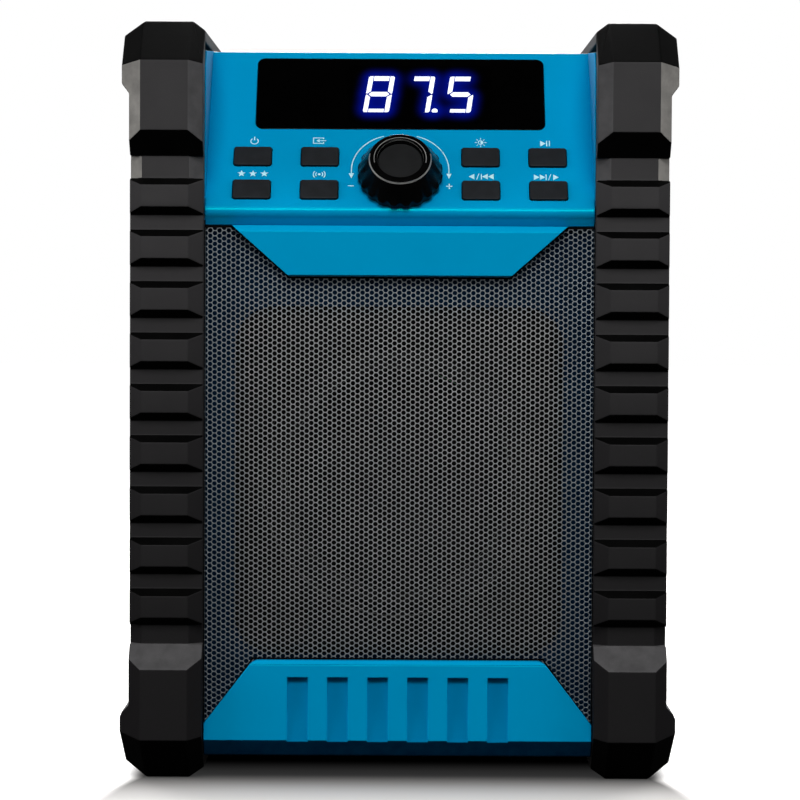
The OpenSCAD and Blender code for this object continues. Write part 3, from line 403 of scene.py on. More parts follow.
def keyRubber():
    # Moulded silicone keys with a matt lacquer: charcoal, a little paler than the knob
    material, tree, principled = newMaterial("keyRubber", Roughness=0.55, IOR=1.45, Specular_IOR_Level=0.3)
    addGrain(tree, principled, 0.3, 0.01, ("#121518", "#181B1F", 5))
    return material


def knobAbs():
    # Polished ABS: black. The thin bright lines on its rings are painted highlights, a material of their own
    material, tree, principled = newMaterial("knobAbs", Roughness=0.22, IOR=1.53, Specular_IOR_Level=0.15)
    addGrain(tree, principled, 0.8, 0.002, ("#020202", "#050505", 8))
    return material


def paintedHighlightAbs():
    # The three lines of the knob's ring, painted highlights: thin and pale
    material, tree, principled = newMaterial("paintedHighlightAbs", Roughness=0.25, IOR=1.53)
    addGrain(tree, principled, 0.6, 0.002, ("#6A6A6A", "#80807E", 3))
    return material


def knobCapAbs():
    # Satin moulded ABS disc: charcoal, with a faint turned grain
    material, tree, principled = newMaterial("knobCapAbs", Roughness=0.45, IOR=1.53, Specular_IOR_Level=0.3)
    addGrain(tree, principled, 0.3, 0.006, ("#0F1011", "#141516", 4))
    return material


coatTonesAndLight = {
    "low": ("#696A6C", "#797A7C"),   # the mottle's two colours at the foot
    "high": ("#8A8B8D", "#9FA0A1"),
    # Painted light: the coat is paler upwards, as lit from above
    "lowToHigh": (0.05, 0.21),       # heights, in m
    "middle": (0, 0, 0.121),         # of the grille, in m
    # Outside the neutral part a painted reflection of the blue shell cools the coat
    "neutralHalf": (0.056, 1.0, 0.060),
    "coolFrom": 0.004,               # m past the neutral part
    "coolTo": 0.014,
    "coolTint": (0.72, 0.82, 0.88, 1),
}


def powderCoat():
    # Perforated steel sheet with a grey powder coat: the web between the holes rounds over and catches the
    # light. It is painted paler at the top, as lit from above, and cooler round the rim, as a painted
    # reflection of the blue shell behind
    material, tree, principled = newMaterial("powderCoat", Roughness=0.38, IOR=1.5)
    place = addGrain(tree, principled, 0.25, 0.01)
    cloud = addNode(tree, "ShaderNodeTexNoise", {"Vector": place, "Scale": 1 / (9 * mm), "Detail": 5.0})
    height = addNode(tree, "ShaderNodeSeparateXYZ", {"Vector": place}).outputs["Z"]
    rise = addNode(tree, "ShaderNodeMapRange", {
        "Value": height, "From Min": coatTonesAndLight["lowToHigh"][0], "From Max": coatTonesAndLight["lowToHigh"][1]})
    low, high = (addNode(tree, "ShaderNodeMix", {
        0: cloud.outputs["Fac"], 6: linearColour(dark), 7: linearColour(pale)}, data_type="RGBA").outputs[2]
        for dark, pale in (coatTonesAndLight["low"], coatTonesAndLight["high"]))
    middle = addNode(tree, "ShaderNodeMix", {0: rise.outputs["Result"], 6: low, 7: high},
                     data_type="RGBA").outputs[2]
    turned = addNode(tree, "ShaderNodeVectorMath", {0: place, 1: coatTonesAndLight["middle"]}, operation="SUBTRACT")
    spread = addNode(tree, "ShaderNodeVectorMath", {0: turned.outputs["Vector"]}, operation="ABSOLUTE")
    past = addNode(tree, "ShaderNodeVectorMath", {0: spread.outputs["Vector"], 1: coatTonesAndLight["neutralHalf"]},
                   operation="SUBTRACT")
    outside = addNode(tree, "ShaderNodeVectorMath", {0: past.outputs["Vector"], 1: (0, 0, 0)},
                      operation="MAXIMUM")
    off = addNode(tree, "ShaderNodeVectorMath", {0: outside.outputs["Vector"]}, operation="LENGTH")
    rim = addNode(tree, "ShaderNodeMapRange", {
        "Value": off.outputs["Value"], "From Min": coatTonesAndLight["coolFrom"], "From Max": coatTonesAndLight["coolTo"]})
    cooler = addNode(tree, "ShaderNodeMix", {0: 1.0, 6: middle, 7: coatTonesAndLight["coolTint"]}, data_type="RGBA",
                     blend_type="MULTIPLY")
    tone = addNode(tree, "ShaderNodeMix", {0: rim.outputs["Result"], 6: middle, 7: cooler.outputs[2]},
                   data_type="RGBA")
    tree.links.new(tone.outputs[2], principled.inputs["Base Color"])
    return material


def zincPlate():
    # Zinc plated steel: pale blue grey metal, clouded where the bath left it
    material, tree, principled = newMaterial("zincPlate", Roughness=0.32, Metallic=1.0)
    addGrain(tree, principled, 0.6, 0.006, ("#A9ACB0", "#BFC2C4", 2.5))
    return material


def turnedSteel():
    # Turned steel: fine rings round the shaft, drawn 0.25 mm apart so that they show
    material, tree, principled = newMaterial("turnedSteel", Roughness=0.28, Metallic=1.0)
    place = addNode(tree, "ShaderNodeTexCoord").outputs["Object"]
    rings = addNode(tree, "ShaderNodeTexWave", {
        "Vector": place, "Scale": waveScale(0.25), "Distortion": 1.5}, bands_direction="Z")
    addPattern(tree, principled, rings.outputs["Fac"], "#B4B5B8", "#CFCFD1", depth=0.01)
    return material


def smokedAcrylic():
    # Smoked acrylic, polished: black glass that mirrors the room and lets only the digits through
    material, tree, principled = newMaterial("smokedAcrylic", Roughness=0.06, IOR=1.49,
                                             Specular_IOR_Level=0.2)
    addGrain(tree, principled, 20, 0.01, ("#000000", "#010101", 30))
    return material


def glowingAcrylic():
    # The same acrylic over the digits: the light from the segments, spreading blue through it, is a painted glow
    material, tree, principled = newMaterial(
        "glowingAcrylic", Roughness=0.06, IOR=1.49, Emission_Strength=1.0, Specular_IOR_Level=0.2,
        Base_Color=linearColour("#000000"))
    spread = addNode(tree, "ShaderNodeAttribute", attribute_name="glow")
    addPattern(tree, principled, spread.outputs["Fac"], "#000000", "#02118C", socket="Emission Color")
    return material


def litSegments():
    # Segments of a white-blue LED display: evenly lit, a touch bluer towards the ends
    material, tree, principled = newMaterial("litSegments", Roughness=0.5, Emission_Strength=1.0,
                                             Base_Color=linearColour("#9FA6C8"))
    place = addNode(tree, "ShaderNodeTexCoord").outputs["Object"]
    cloud = addNode(tree, "ShaderNodeTexNoise", {"Vector": place, "Scale": 1 / (3 * mm), "Detail": 2.0})
    addPattern(tree, principled, cloud.outputs["Fac"], "#E9EBFF", "#FFFFFF", socket="Emission Color")
    return material


def legendInk():
    # Pad printed ink: pale cyan white, thin enough for the blue to tint it
    material, tree, principled = newMaterial("legendInk", Roughness=0.5, IOR=1.5)
    addGrain(tree, principled, 0.4, 0.004, ("#A4E4F0", "#C8F1F8", 1.2))
    return material


def fibreBoard():
    # Glass fibre laminate under green lacquer: the weave shows as a faint 0.6 mm check
    material, tree, principled = newMaterial("fibreBoard", Roughness=0.35, IOR=1.55)
    place = addNode(tree, "ShaderNodeTexCoord").outputs["Object"]
    weave = addNode(tree, "ShaderNodeTexChecker", {
        "Vector": place, "Scale": 1 / (0.6 * mm), "Color1": linearColour("#0E4A26"),
        "Color2": linearColour("#125731")})
    tracks = addNode(tree, "ShaderNodeTexBrick", {
        "Vector": place, "Scale": 1 / (9 * mm), "Mortar Size": 0.03})
    tone = addNode(tree, "ShaderNodeMix", {
        0: tracks.outputs["Fac"], 6: weave.outputs["Color"], 7: linearColour("#2C7A45")}, data_type="RGBA")
    tree.links.new(tone.outputs[2], principled.inputs["Base Color"])
    return material


def pressedSteel():
    # Stamped sheet steel, bright: faint rolling lines and small dings
    material, tree, principled = newMaterial("pressedSteel", Roughness=0.34, Metallic=1.0)
    addGrain(tree, principled, 1.2, 0.01, ("#B9BBBD", "#CBCCCE", 3))
    return material


def trimFlock():
    # Moulded trim and baffle flocked in black: next to no light comes back off it
    material, tree, principled = newMaterial("trimFlock", Roughness=0.95, IOR=1.45, Specular_IOR_Level=0.1)
    addGrain(tree, principled, 0.3, 0.05, ("#050505", "#080808", 5))
    return material


def basketPaint():
    # Pressed steel with black stoving enamel: semi gloss black, slightly orange-peeled
    material, tree, principled = newMaterial("basketPaint", Roughness=0.5, IOR=1.5, Specular_IOR_Level=0.1)
    addGrain(tree, principled, 1.5, 0.01, ("#050505", "#090909", 12))
    return material


def ferrite():
    # Sintered ferrite: a dull dark grey ceramic with a gritty face
    material, tree, principled = newMaterial("ferrite", Roughness=0.75, IOR=1.8)
    addGrain(tree, principled, 0.3, 0.03, ("#27282A", "#34353A", 2))
    return material


def surroundRubber():
    # Moulded rubber half roll: soft satin black
    material, tree, principled = newMaterial("surroundRubber", Roughness=0.6, IOR=1.52,
                                             Specular_IOR_Level=0.1)
    addGrain(tree, principled, 0.4, 0.01, ("#030303", "#060606", 6))
    return material


def conePaper():
    # Pressed paper pulp, dyed black: matt, with fibres 2 mm long
    material, tree, principled = newMaterial("conePaper", Roughness=0.9, IOR=1.45, Specular_IOR_Level=0.1)
    addGrain(tree, principled, 0.8, 0.05, ("#020202", "#060607", 2))
    return material


def enamelledCopper():
    # Enamelled copper wire, wound in turns: amber metal, one turn every 0.4 mm
    material, tree, principled = newMaterial("enamelledCopper", Roughness=0.3, Metallic=1.0)
    place = addNode(tree, "ShaderNodeTexCoord").outputs["Object"]
    turns = addNode(tree, "ShaderNodeTexWave", {"Vector": place, "Scale": waveScale(0.4)},
                    bands_direction="Y")
    addPattern(tree, principled, turns.outputs["Fac"], "#7A3A18", "#C8763C", depth=0.1)
    return material


def gripRubber():
    # Moulded rubber sleeve, dotted for grip: pimples 3 mm apart
    material, tree, principled = newMaterial("gripRubber", Roughness=0.7, IOR=1.52)
    place = addNode(tree, "ShaderNodeTexCoord").outputs["Object"]
    dots = addNode(tree, "ShaderNodeTexVoronoi", {"Vector": place, "Scale": 1 / (3 * mm), "Randomness": 0.0})
    raised = addNode(tree, "ShaderNodeMapRange", {
        "Value": dots.outputs["Distance"], "From Min": 0.2, "From Max": 0.34, "To Min": 1.0, "To Max": 0.0})
    addPattern(tree, principled, raised.outputs["Result"], "#1A1A1A", "#2A2A2A", depth=0.35)
    return material


def chromePlate():
    # Chrome on brass tube: a mirror with hairlines from sliding in and out
    material, tree, principled = newMaterial("chromePlate", Roughness=0.12, Metallic=1.0)
    place = addNode(tree, "ShaderNodeTexCoord").outputs["Object"]
    stretched = addNode(tree, "ShaderNodeMapping", {"Vector": place, "Scale": (1, 1, 0.02)})
    hairs = addNode(tree, "ShaderNodeTexNoise", {
        "Vector": stretched.outputs["Vector"], "Scale": 1 / (0.3 * mm), "Detail": 2.0})
    dull = addNode(tree, "ShaderNodeMapRange", {
        "Value": hairs.outputs["Fac"], "To Min": 0.06, "To Max": 0.22})
    tree.links.new(dull.outputs["Result"], principled.inputs["Roughness"])
    addPattern(tree, principled, hairs.outputs["Fac"], "#D2D3D6", "#E4E5E8")
    return material


def nickelWire():
    # Nickel plated spring wire: warm bright metal with drawn streaks
    material, tree, principled = newMaterial("nickelWire", Roughness=0.25, Metallic=1.0)
    addGrain(tree, principled, 0.7, 0.005, ("#B9B2A6", "#CFC9BE", 2))
    return material


def extrudedAluminium():
    # Extruded aluminium, as it left the die: lengthwise lines about 0.5 mm apart
    material, tree, principled = newMaterial("extrudedAluminium", Roughness=0.42, Metallic=1.0)
    place = addNode(tree, "ShaderNodeTexCoord").outputs["Object"]
    stretched = addNode(tree, "ShaderNodeMapping", {"Vector": place, "Scale": (1, 1, 0.03)})
    lines = addNode(tree, "ShaderNodeTexNoise", {
        "Vector": stretched.outputs["Vector"], "Scale": 1 / (0.5 * mm)})
    addPattern(tree, principled, lines.outputs["Fac"], "#BFC1C4", "#D6D7D9", depth=0.02)
    return material


def pottingResin():
    # Cast epoxy potting: dark, glossy and slightly wavy
    material, tree, principled = newMaterial("pottingResin", Roughness=0.3, IOR=1.55)
    addGrain(tree, principled, 8, 0.2, ("#1E1F22", "#292A2E", 15))
    return material


def cableJacket():
    # Flat PVC cable: grey, ribbed once for each lead, 1.27 mm apart
    material, tree, principled = newMaterial("cableJacket", Roughness=0.5, IOR=1.53)
    place = addNode(tree, "ShaderNodeTexCoord").outputs["Object"]
    leads = addNode(tree, "ShaderNodeTexWave", {"Vector": place, "Scale": waveScale(1.27)},
                    bands_direction="X")
    addPattern(tree, principled, leads.outputs["Fac"], "#707173", "#A3A4A6", depth=0.3)
    return material


finishes = {make.__name__: make() for make in (
    blueAbs, mattAbs, sprayedFront, grimyAbs, grainedRubber, scuffedRubber, smoothRubber, wornRubber,
    blackAbs, keyRubber, knobAbs, paintedHighlightAbs, knobCapAbs, powderCoat, trimFlock, zincPlate, turnedSteel,
    smokedAcrylic, glowingAcrylic, litSegments, legendInk, fibreBoard, pressedSteel, basketPaint, ferrite,
    surroundRubber, conePaper, enamelledCopper, gripRubber, chromePlate, nickelWire, extrudedAluminium,
    pottingResin, cableJacket)}

carriedFinishes = {
    "zincPlate": ["bumper_screws", "housing_screws", "speaker_screws", "handle_pivots", "encoder_nut"],
    "turnedSteel": ["encoder_shaft", "door_hinge_pin", "flap_pin", "antenna_pin"],
    "fibreBoard": ["control_board", "display_board", "socket_board", "main_board"],
    "pressedSteel": ["tact_switches", "usb_socket"],
    "basketPaint": ["speaker_basket"],
    "ferrite": ["speaker_magnet"],
    "surroundRubber": ["speaker_surround"],
    "conePaper": ["speaker_cone", "dust_cap"],
    "enamelledCopper": ["voice_coil"],
    "nickelWire": ["battery_springs", "battery_contacts"],
    "trimFlock": ["speaker_trim"],
    "blackAbs": ["encoder_body", "aux_socket", "dc_inlet", "antenna_bracket", "antenna_turret",
                 "display_module"],
    "chromePlate": ["antenna_tube", "antenna_section_2", "antenna_section_3", "antenna_tip"],
    "extrudedAluminium": ["heat_sink"],
    "pottingResin": ["power_supply"],
    "cableJacket": ["ribbon_cable", "speaker_lead"],
}
for finish, names in carriedFinishes.items():
    for name in names:
        for materialSlot in nodes[name].material_slots:
            materialSlot.material = finishes[finish]
print("finishes ready")


def addPiece(name, mesh, body, slotName, *replaced):
    piece = bpy.data.objects.new(name, mesh)
    scene.collection.objects.link(piece)
    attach(piece, body)
    if replaced:
        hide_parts(*replaced)
    return piece


softening = {
    "weld": 0.002,           # mm between corners that are taken as one
    "sameFace": 0.99995,     # how alike the normals of two triangles of one flat face are
    "flatAngle": 0.6,        # degrees between faces that are joined
    "sharpAngle": 24,        # degrees between faces whose edge is rounded
    "cutWidth": 0.001,       # mm, a corner this close to a cut lies on it
    "sideFace": 0.7,         # part of the normal that points sideways, and that is cut from above
    "faceWeight": 100,       # how far the large faces lead the shading
}


def flatRegion(start, seen):
    # The triangles that lie in one flat face with the first
    seen.add(start)
    region = [start]
    for face in region:
        for edge in face.edges:
            for other in edge.link_faces:
                if other not in seen and other.normal.dot(start.normal) > softening["sameFace"]:
                    seen.add(other)
                    region.append(other)
    return region


def borderLoops(region):
    inside = set(region)
    border = {edge for face in region for edge in face.edges
              if len(inside.intersection(edge.link_faces)) == 1}
    loops = []
    while border:
        loop = [border.pop()]
        for edge in loop:
            for vert in edge.verts:
                for other in vert.link_edges:
                    if other in border:
                        border.remove(other)
                        loop.append(other)
        loops.append([vert.co for edge in loop for vert in edge.verts])
    return loops


def holeCuts(shape):
    # One polygon can't have a hole in it, so flat faces with holes are cut: the axis and place of each cut
    seen, cuts = set(), set()
    for start in shape.faces:
        if start in seen:
            continue
        axis = 2 if abs(start.normal.x) > softening["sideFace"] else 0
        spans = []
        for loop in borderLoops(flatRegion(start, seen)):
            places = [co[axis] for co in loop]
            spans.append((max(places) - min(places), (max(places) + min(places)) / 2))
        spans.sort()
        cuts.update((axis, round(middle / mm * 2) / 2) for _, middle in spans[:-1])    # to half a mm
    return sorted(cuts)


def softCopy(node, name, slotName, looks, radius, chooser=None, steps=2):
    # The node's own shape with its sharp edges rounded to the radius, in mm. The triangles of each flat face
    # are joined first, all but the cuts through its holes. The chooser says which of the looks a face has
    shape = bmesh.new()
    shape.from_mesh(nodes[node].data)
    bmesh.ops.remove_doubles(shape, verts=shape.verts, dist=softening["weld"] * mm)
    shape.normal_update()
    for axis, place in holeCuts(shape):
        across = Vector([1 if i == axis else 0 for i in range(3)])
        sliced = bmesh.ops.bisect_plane(shape, geom=shape.verts[:] + shape.edges[:] + shape.faces[:],
                                        plane_co=across * place * mm, plane_no=across,
                                        dist=softening["cutWidth"] * mm)
        for part in sliced["geom_cut"]:
            if isinstance(part, bmesh.types.BMEdge):
                part.seam = True
    bmesh.ops.dissolve_limit(shape, angle_limit=math.radians(softening["flatAngle"]), verts=shape.verts,
                             edges=shape.edges, delimit={"SEAM"})
    shape.normal_update()
    for face in shape.faces:
        face.smooth = True
        face.material_index = looks.index(chooser(face)) if chooser else 0
    mesh = bpy.data.meshes.new(name)
    shape.to_mesh(mesh)
    shape.free()
    for look in looks:
        mesh.materials.append(finishes[look])
    piece = addPiece(name, mesh, bodyOf[node], slotName, node)
    rounding = piece.modifiers.new("rounding", "BEVEL")
    rounding.width = radius * mm
    rounding.segments = steps
    rounding.limit_method = "ANGLE"
    rounding.angle_limit = math.radians(softening["sharpAngle"])
    rounding.use_clamp_overlap = False
    even = piece.modifiers.new("evenShading", "WEIGHTED_NORMAL")
    even.weight = softening["faceWeight"]
    return piece


bumpers = {
    "edgeRadius": 0.5,
    "looks": ("grainedRubber", "smoothRubber", "scuffedRubber", "wornRubber"),
    "footTop": 0.058,        # m, below this the feet
    "topBlock": 0.240,       # m, above this the top blocks
    "midDepth": 0.05,        # m either way from the middle of the depth
    "slope": 0.3,            # parts of a normal: how far a face looks up or down
    "sideSlope": 0.35,
    "blockSlant": (0.4, 0.5, 0.2),       # at least so far sideways and forwards, and at most so far up
}


def rubberFor(face):
    # Painted shade: under the ribs, on their top slopes and on the caps the rubber is near black. Painted light:
    # the feet's top slopes and the top blocks' inner slants are paler, their outer slants paler still. Spark
    # textured grey elsewhere
    normal, place = face.normal, face.calc_center_median()
    if normal.z < -bumpers["slope"]:
        return "smoothRubber"
    if normal.z > bumpers["slope"]:
        if place.z < bumpers["footTop"]:
            return "scuffedRubber"
        flank = abs(normal.x) > bumpers["sideSlope"] and abs(place.y) < bumpers["midDepth"]
        return "grainedRubber" if flank else "smoothRubber"
    sideways, forwards, upwards = bumpers["blockSlant"]
    slanted = abs(normal.z) < upwards and normal.y < -forwards and abs(normal.x) > sideways
    if not slanted or place.z < bumpers["topBlock"]:
        return "grainedRubber"
    return "wornRubber" if normal.x * place.x > 0 else "scuffedRubber"


for side in ("left", "right"):
    softCopy(f"{side}_bumper", f"{side}Bumper", "bumper_rubber", bumpers["looks"], bumpers["edgeRadius"],
             rubberFor)
print("bumpers ready")


shells = {
    "blueEdge": 0.35,
    "panelEdge": 0.12,
    "flapEdge": 0.4,
    "handleEdge": 0.4,
    "gripEdge": 0.5,
    "slotFrom": 1.2,         # the fascia's front faces deeper than this are slot floors
    "slotTop": 0.045,        # m, above all slots
    "undersideTop": 0.018,   # m, above the fascia's underside
    "coveredTop": 0.23,      # m, above the front wall that the grille covers
    "wall": 0.7,             # parts of a normal: how far a cheek looks sideways
    "underside": 0.4,        # and the others down or forwards
    "slotFloor": 0.5,
    "frontWall": 0.9,
}

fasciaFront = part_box("lower_fascia")[0].y


def panelFinish(face):
    # The cheek walls take the darker blue as painted shade
    return "mattAbs" if abs(face.normal.x) > shells["wall"] else "blueAbs"


def fasciaFinish(face):
    place = face.calc_center_median()
    # The fascia's underside takes the near black blue as painted shade
    if face.normal.z < -shells["underside"] and place.z < shells["undersideTop"]:
        return "grimyAbs"
    deep = place.y > fasciaFront + shells["slotFrom"] * mm and place.z < shells["slotTop"]
    # The slot floors take the darker blue as painted shade
    return "mattAbs" if face.normal.y < -shells["slotFloor"] and deep else "blueAbs"


def frontFinish(face):
    # The front wall behind the grille takes the dark navy as painted shade
    covered = face.normal.y < -shells["frontWall"] and face.calc_center_median().z < shells["coveredTop"]
    return "sprayedFront" if covered else "blueAbs"


softCopy("control_panel", "consolePanel", "blue_abs", ("blueAbs", "mattAbs"), shells["panelEdge"],
         panelFinish)
softCopy("lower_fascia", "lowerFascia", "blue_abs", ("blueAbs", "grimyAbs", "mattAbs"), shells["blueEdge"],
         fasciaFinish)
softCopy("front_housing", "frontShell", "blue_abs", ("blueAbs", "sprayedFront"), shells["flapEdge"],
         frontFinish)
softCopy("rear_housing", "rearShell", "black_abs", ("blackAbs",), shells["flapEdge"])
softCopy("battery_door", "batteryDoor", "black_abs", ("blackAbs",), shells["flapEdge"])
softCopy("socket_flap", "socketFlap", "black_abs", ("blackAbs",), shells["flapEdge"])
softCopy("carry_handle", "carryHandle", "handle_abs", ("blackAbs",), shells["handleEdge"])
softCopy("handle_grip", "handleGrip", "grip_rubber", ("gripRubber",), shells["gripEdge"])
print("shells ready")


def meshPiece(name, shape, look, body, slotName, *replaced, smooth=True):
    mesh = bpy.data.meshes.new(name)
    for face in shape.faces:
        face.smooth = smooth
    shape.to_mesh(mesh)
    shape.free()
    mesh.materials.append(finishes[look])
    return addPiece(name, mesh, body, slotName, *replaced)


grille = {
    "rowPitch": 2.14,        # between holes one above the other
    "hole": 1.88,            # diameter
    "sheet": 0.8,            # thickness
    "around": 12,            # points round a hole
    "underCover": 2.4,       # how far the pattern runs in under the chin and the fascia
    "underSide": 3.12,       # the same at their slanted sides
    "rim": 0.12,             # how far the punch has drawn the edge of a hole in
    "perMillimetre": 200,    # corners that agree to 1/200 mm are one
    "strips": {"Left": (-99, -26), "Middle": (-26, 26), "Right": (26, 99)},     # from x to x
}

covers = {
    # The two blue parts that overlap the sheet, in mm: where each starts, half its width there, and how much
    # wider it is a millimetre further in
    "chinBottom": 202.9,
    "chinHalf": 44.2,
    "chinLean": 1.127,
    "fasciaTop": 48.7,
    "fasciaHalf": 58.3,
    "fasciaLean": 0.77,
    "fasciaShoulder": 23.2,
    "shadeLine": 0.7,             # width of the strip that shows
    "shadeLineProud": 0.05,       # of the sheet
}


def hiddenByCovers(x, z):
    above, below = z - covers["chinBottom"], covers["fasciaTop"] - z
    chinHalf = covers["chinHalf"] + above * covers["chinLean"] - grille["underSide"]
    fasciaHalf = covers["fasciaHalf"] + below * covers["fasciaLean"] - grille["underSide"]
    return (above > grille["underCover"] and abs(x) < chinHalf
            or below > grille["underCover"] and abs(x) < fasciaHalf)


def makeGrille():
    low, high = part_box("speaker_grille")
    front, halfWidth = low.y / mm, high.x / mm
    row = grille["rowPitch"]
    column, corner, hole = row * math.sqrt(3) / 2, row / math.sqrt(3), grille["hole"] / 2
    around = [math.tau * i / grille["around"] for i in range(grille["around"])]
    edge = [(corner if i % 2 == 0 else row / 2) for i in range(grille["around"])]    # a hexagon of web
    outermost = math.ceil(halfWidth / column)
    middle = (low.z + high.z) / 2 / mm
    rows = math.ceil((high.z - low.z) / 2 / mm / row)
    for part, (start, stop) in grille["strips"].items():
        shape = bmesh.new()
        made = {}

        def point(x, y, z):
            key = tuple(round(value * grille["perMillimetre"]) for value in (x, y, z))
            if key not in made:
                made[key] = shape.verts.new((x * mm, y * mm, z * mm))
            return made[key]

        for i in range(-outermost, outermost + 1):
            x = i * column
            if not start <= x < stop:
                continue
            shift = row / 2 if i % 2 else 0
            for k in range(-rows - 1, rows + 1):
                z = middle + k * row + shift
                if hiddenByCovers(x, z):
                    continue
                outer = [point(x + r * math.cos(a), front, z + r * math.sin(a)) for a, r in zip(around, edge)]
                rim, back = ([point(x + hole * math.cos(a), front + deep, z + hole * math.sin(a))
                              for a in around] for deep in (grille["rim"], grille["sheet"]))
                for n in range(grille["around"]):
                    m = (n + 1) % grille["around"]
                    shape.faces.new((outer[n], rim[n], rim[m], outer[m]))
                    shape.faces.new((rim[n], back[n], back[m], rim[m]))
        for place, outward in ((Vector((halfWidth, 0, 0)), Vector((1, 0, 0))),
                               (Vector((-halfWidth, 0, 0)), Vector((-1, 0, 0))),
                               (high / mm, Vector((0, 0, 1))), (low / mm, Vector((0, 0, -1)))):
            bmesh.ops.bisect_plane(shape, geom=shape.verts[:] + shape.edges[:] + shape.faces[:],
                                   plane_co=place * mm, plane_no=outward, clear_outer=True)
        meshPiece(f"grille{part}", shape, "powderCoat", "body", "grille_steel", "speaker_grille")
    # The edge of the sheet, folded back on all four sides
    shape = bmesh.new()
    rings = [[shape.verts.new((sx * high.x, y * mm, (high.z if sz > 0 else low.z)))
              for sx, sz in ((-1, -1), (1, -1), (1, 1), (-1, 1))] for y in (front, high.y / mm)]
    for n in range(4):
        m = (n + 1) % 4
        shape.faces.new((rings[0][n], rings[0][m], rings[1][m], rings[1][n]))
    meshPiece("grilleEdge", shape, "powderCoat", "body", "grille_steel", "speaker_grille", smooth=False)


def makeShadeLine():
    # A thin strip of black on the sheet, round the chin and the fascia: painted shade of the gap between them
    y = (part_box("speaker_grille")[0].y / mm - covers["shadeLineProud"]) * mm
    top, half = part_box("speaker_grille")[1].z / mm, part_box("speaker_grille")[1].x / mm
    width, bottom, low = covers["shadeLine"], covers["chinBottom"], covers["fasciaTop"]
    chinTop = covers["chinHalf"] + (top - bottom) * covers["chinLean"]
    foot = covers["fasciaHalf"] + (low - covers["fasciaShoulder"]) * covers["fasciaLean"]
    paths = ([(half, top), (chinTop, top), (covers["chinHalf"], bottom), (-covers["chinHalf"], bottom),
              (-chinTop, top), (-half, top)],
             [(-foot, covers["fasciaShoulder"]), (-covers["fasciaHalf"], low), (covers["fasciaHalf"], low),
              (foot, covers["fasciaShoulder"])])
    shape = bmesh.new()
    for path in paths:
        points = [Vector(p) for p in path]
        for first, second in zip(points, points[1:]):
            along = (second - first).normalized()
            side = Vector((-along.y, along.x)) * width
            corners = (first - along * width, second + along * width, second + along * width + side,
                       first - along * width + side)
            inside = [Vector((max(-half, min(half, p.x)), min(top, p.y))) for p in corners]
            shape.faces.new([shape.verts.new((p.x * mm, y, p.y * mm)) for p in inside])
    meshPiece("grilleShadeLine", shape, "trimFlock", "body", "black_abs", smooth=False)


makeGrille()
makeShadeLine()
print("grille ready")


controls = {
    "keys": ("power", "source", "preset", "scan", "brightness", "play", "previous", "next"),
    "keyEdge": 0.3,
    "capEdge": 0.12,
    "windowEdge": 0.1,
}

for key in controls["keys"]:
    softCopy(f"{key}_button", f"{key}Key", "key_rubber", ("keyRubber",), controls["keyEdge"], steps=3)
softCopy("knob_cap", "knobCap", "knob_cap_abs", ("knobCapAbs",), controls["capEdge"])
softCopy("display_window", "displayWindow", "window_acrylic", ("smokedAcrylic",), controls["windowEdge"])

panelOrigin = Vector(joints["knob_turn"]["pos_m"])
panelOut = Vector(joints["knob_turn"]["axis"]).normalized()
panelRight = Vector((1, 0, 0))
panelUp = panelOut.cross(panelRight)


def onPanel(x, up, out):
    # A place on the slanted panel, in mm from the knob's axis: to the right, up the slope and out of it
    return panelOrigin + (panelRight * x + panelUp * up + panelOut * out) * mm


knob = {
    "skirt": 17.2,
    "face": 12.2,
    "height": 11.8,
    "gap": 0.5,
    "ringWidth": 3.0,
    "recess": 2.6,
    "scallops": 20,
    "scallopRadius": 2.3,
    "scallopOut": 1.5,       # from the skirt to a scallop's centre
    "scallopTop": 4.0,
    "chamfer": 0.4,          # round the skirt's foot
    "skirtTop": 3.0,
    "shoulder": 0.45,        # in from the skirt, twice
    "edge": 0.45,            # rounding of the ring's edges
    "turns": 12,             # steps across a scallop
    # Painted highlights, in their own pale material
    "paintedHighlight": {           # radii of the bright lines
        "outer": (12.2, 12.42),
        "inner": (9.0, 9.32),
        "rim": (10.3, 10.6),
    },
    "paintedHighlightDepth": 0.75,  # below the top, as far as they reach
    "sharpAngle": 50,        # degrees
}


def roundedProfile(corners, steps=4):
    # The outline with each corner (radius, height, rounding) cut by an arc
    points = []
    for i, (r, h, rounding) in enumerate(corners):
        here = Vector((r, h))
        if rounding == 0:
            points.append(here)
            continue
        before = (Vector(corners[i - 1][:2]) - here).normalized()
        after = (Vector(corners[i + 1][:2]) - here).normalized()
        half = before.angle(after) / 2
        start, end = here + before * rounding / math.tan(half), here + after * rounding / math.tan(half)
        centre = here + (before + after).normalized() * rounding / math.sin(half)
        for step in range(steps + 1):
            blend = start.lerp(end, step / steps) - centre
            points.append(centre + blend.normalized() * rounding)
    return points


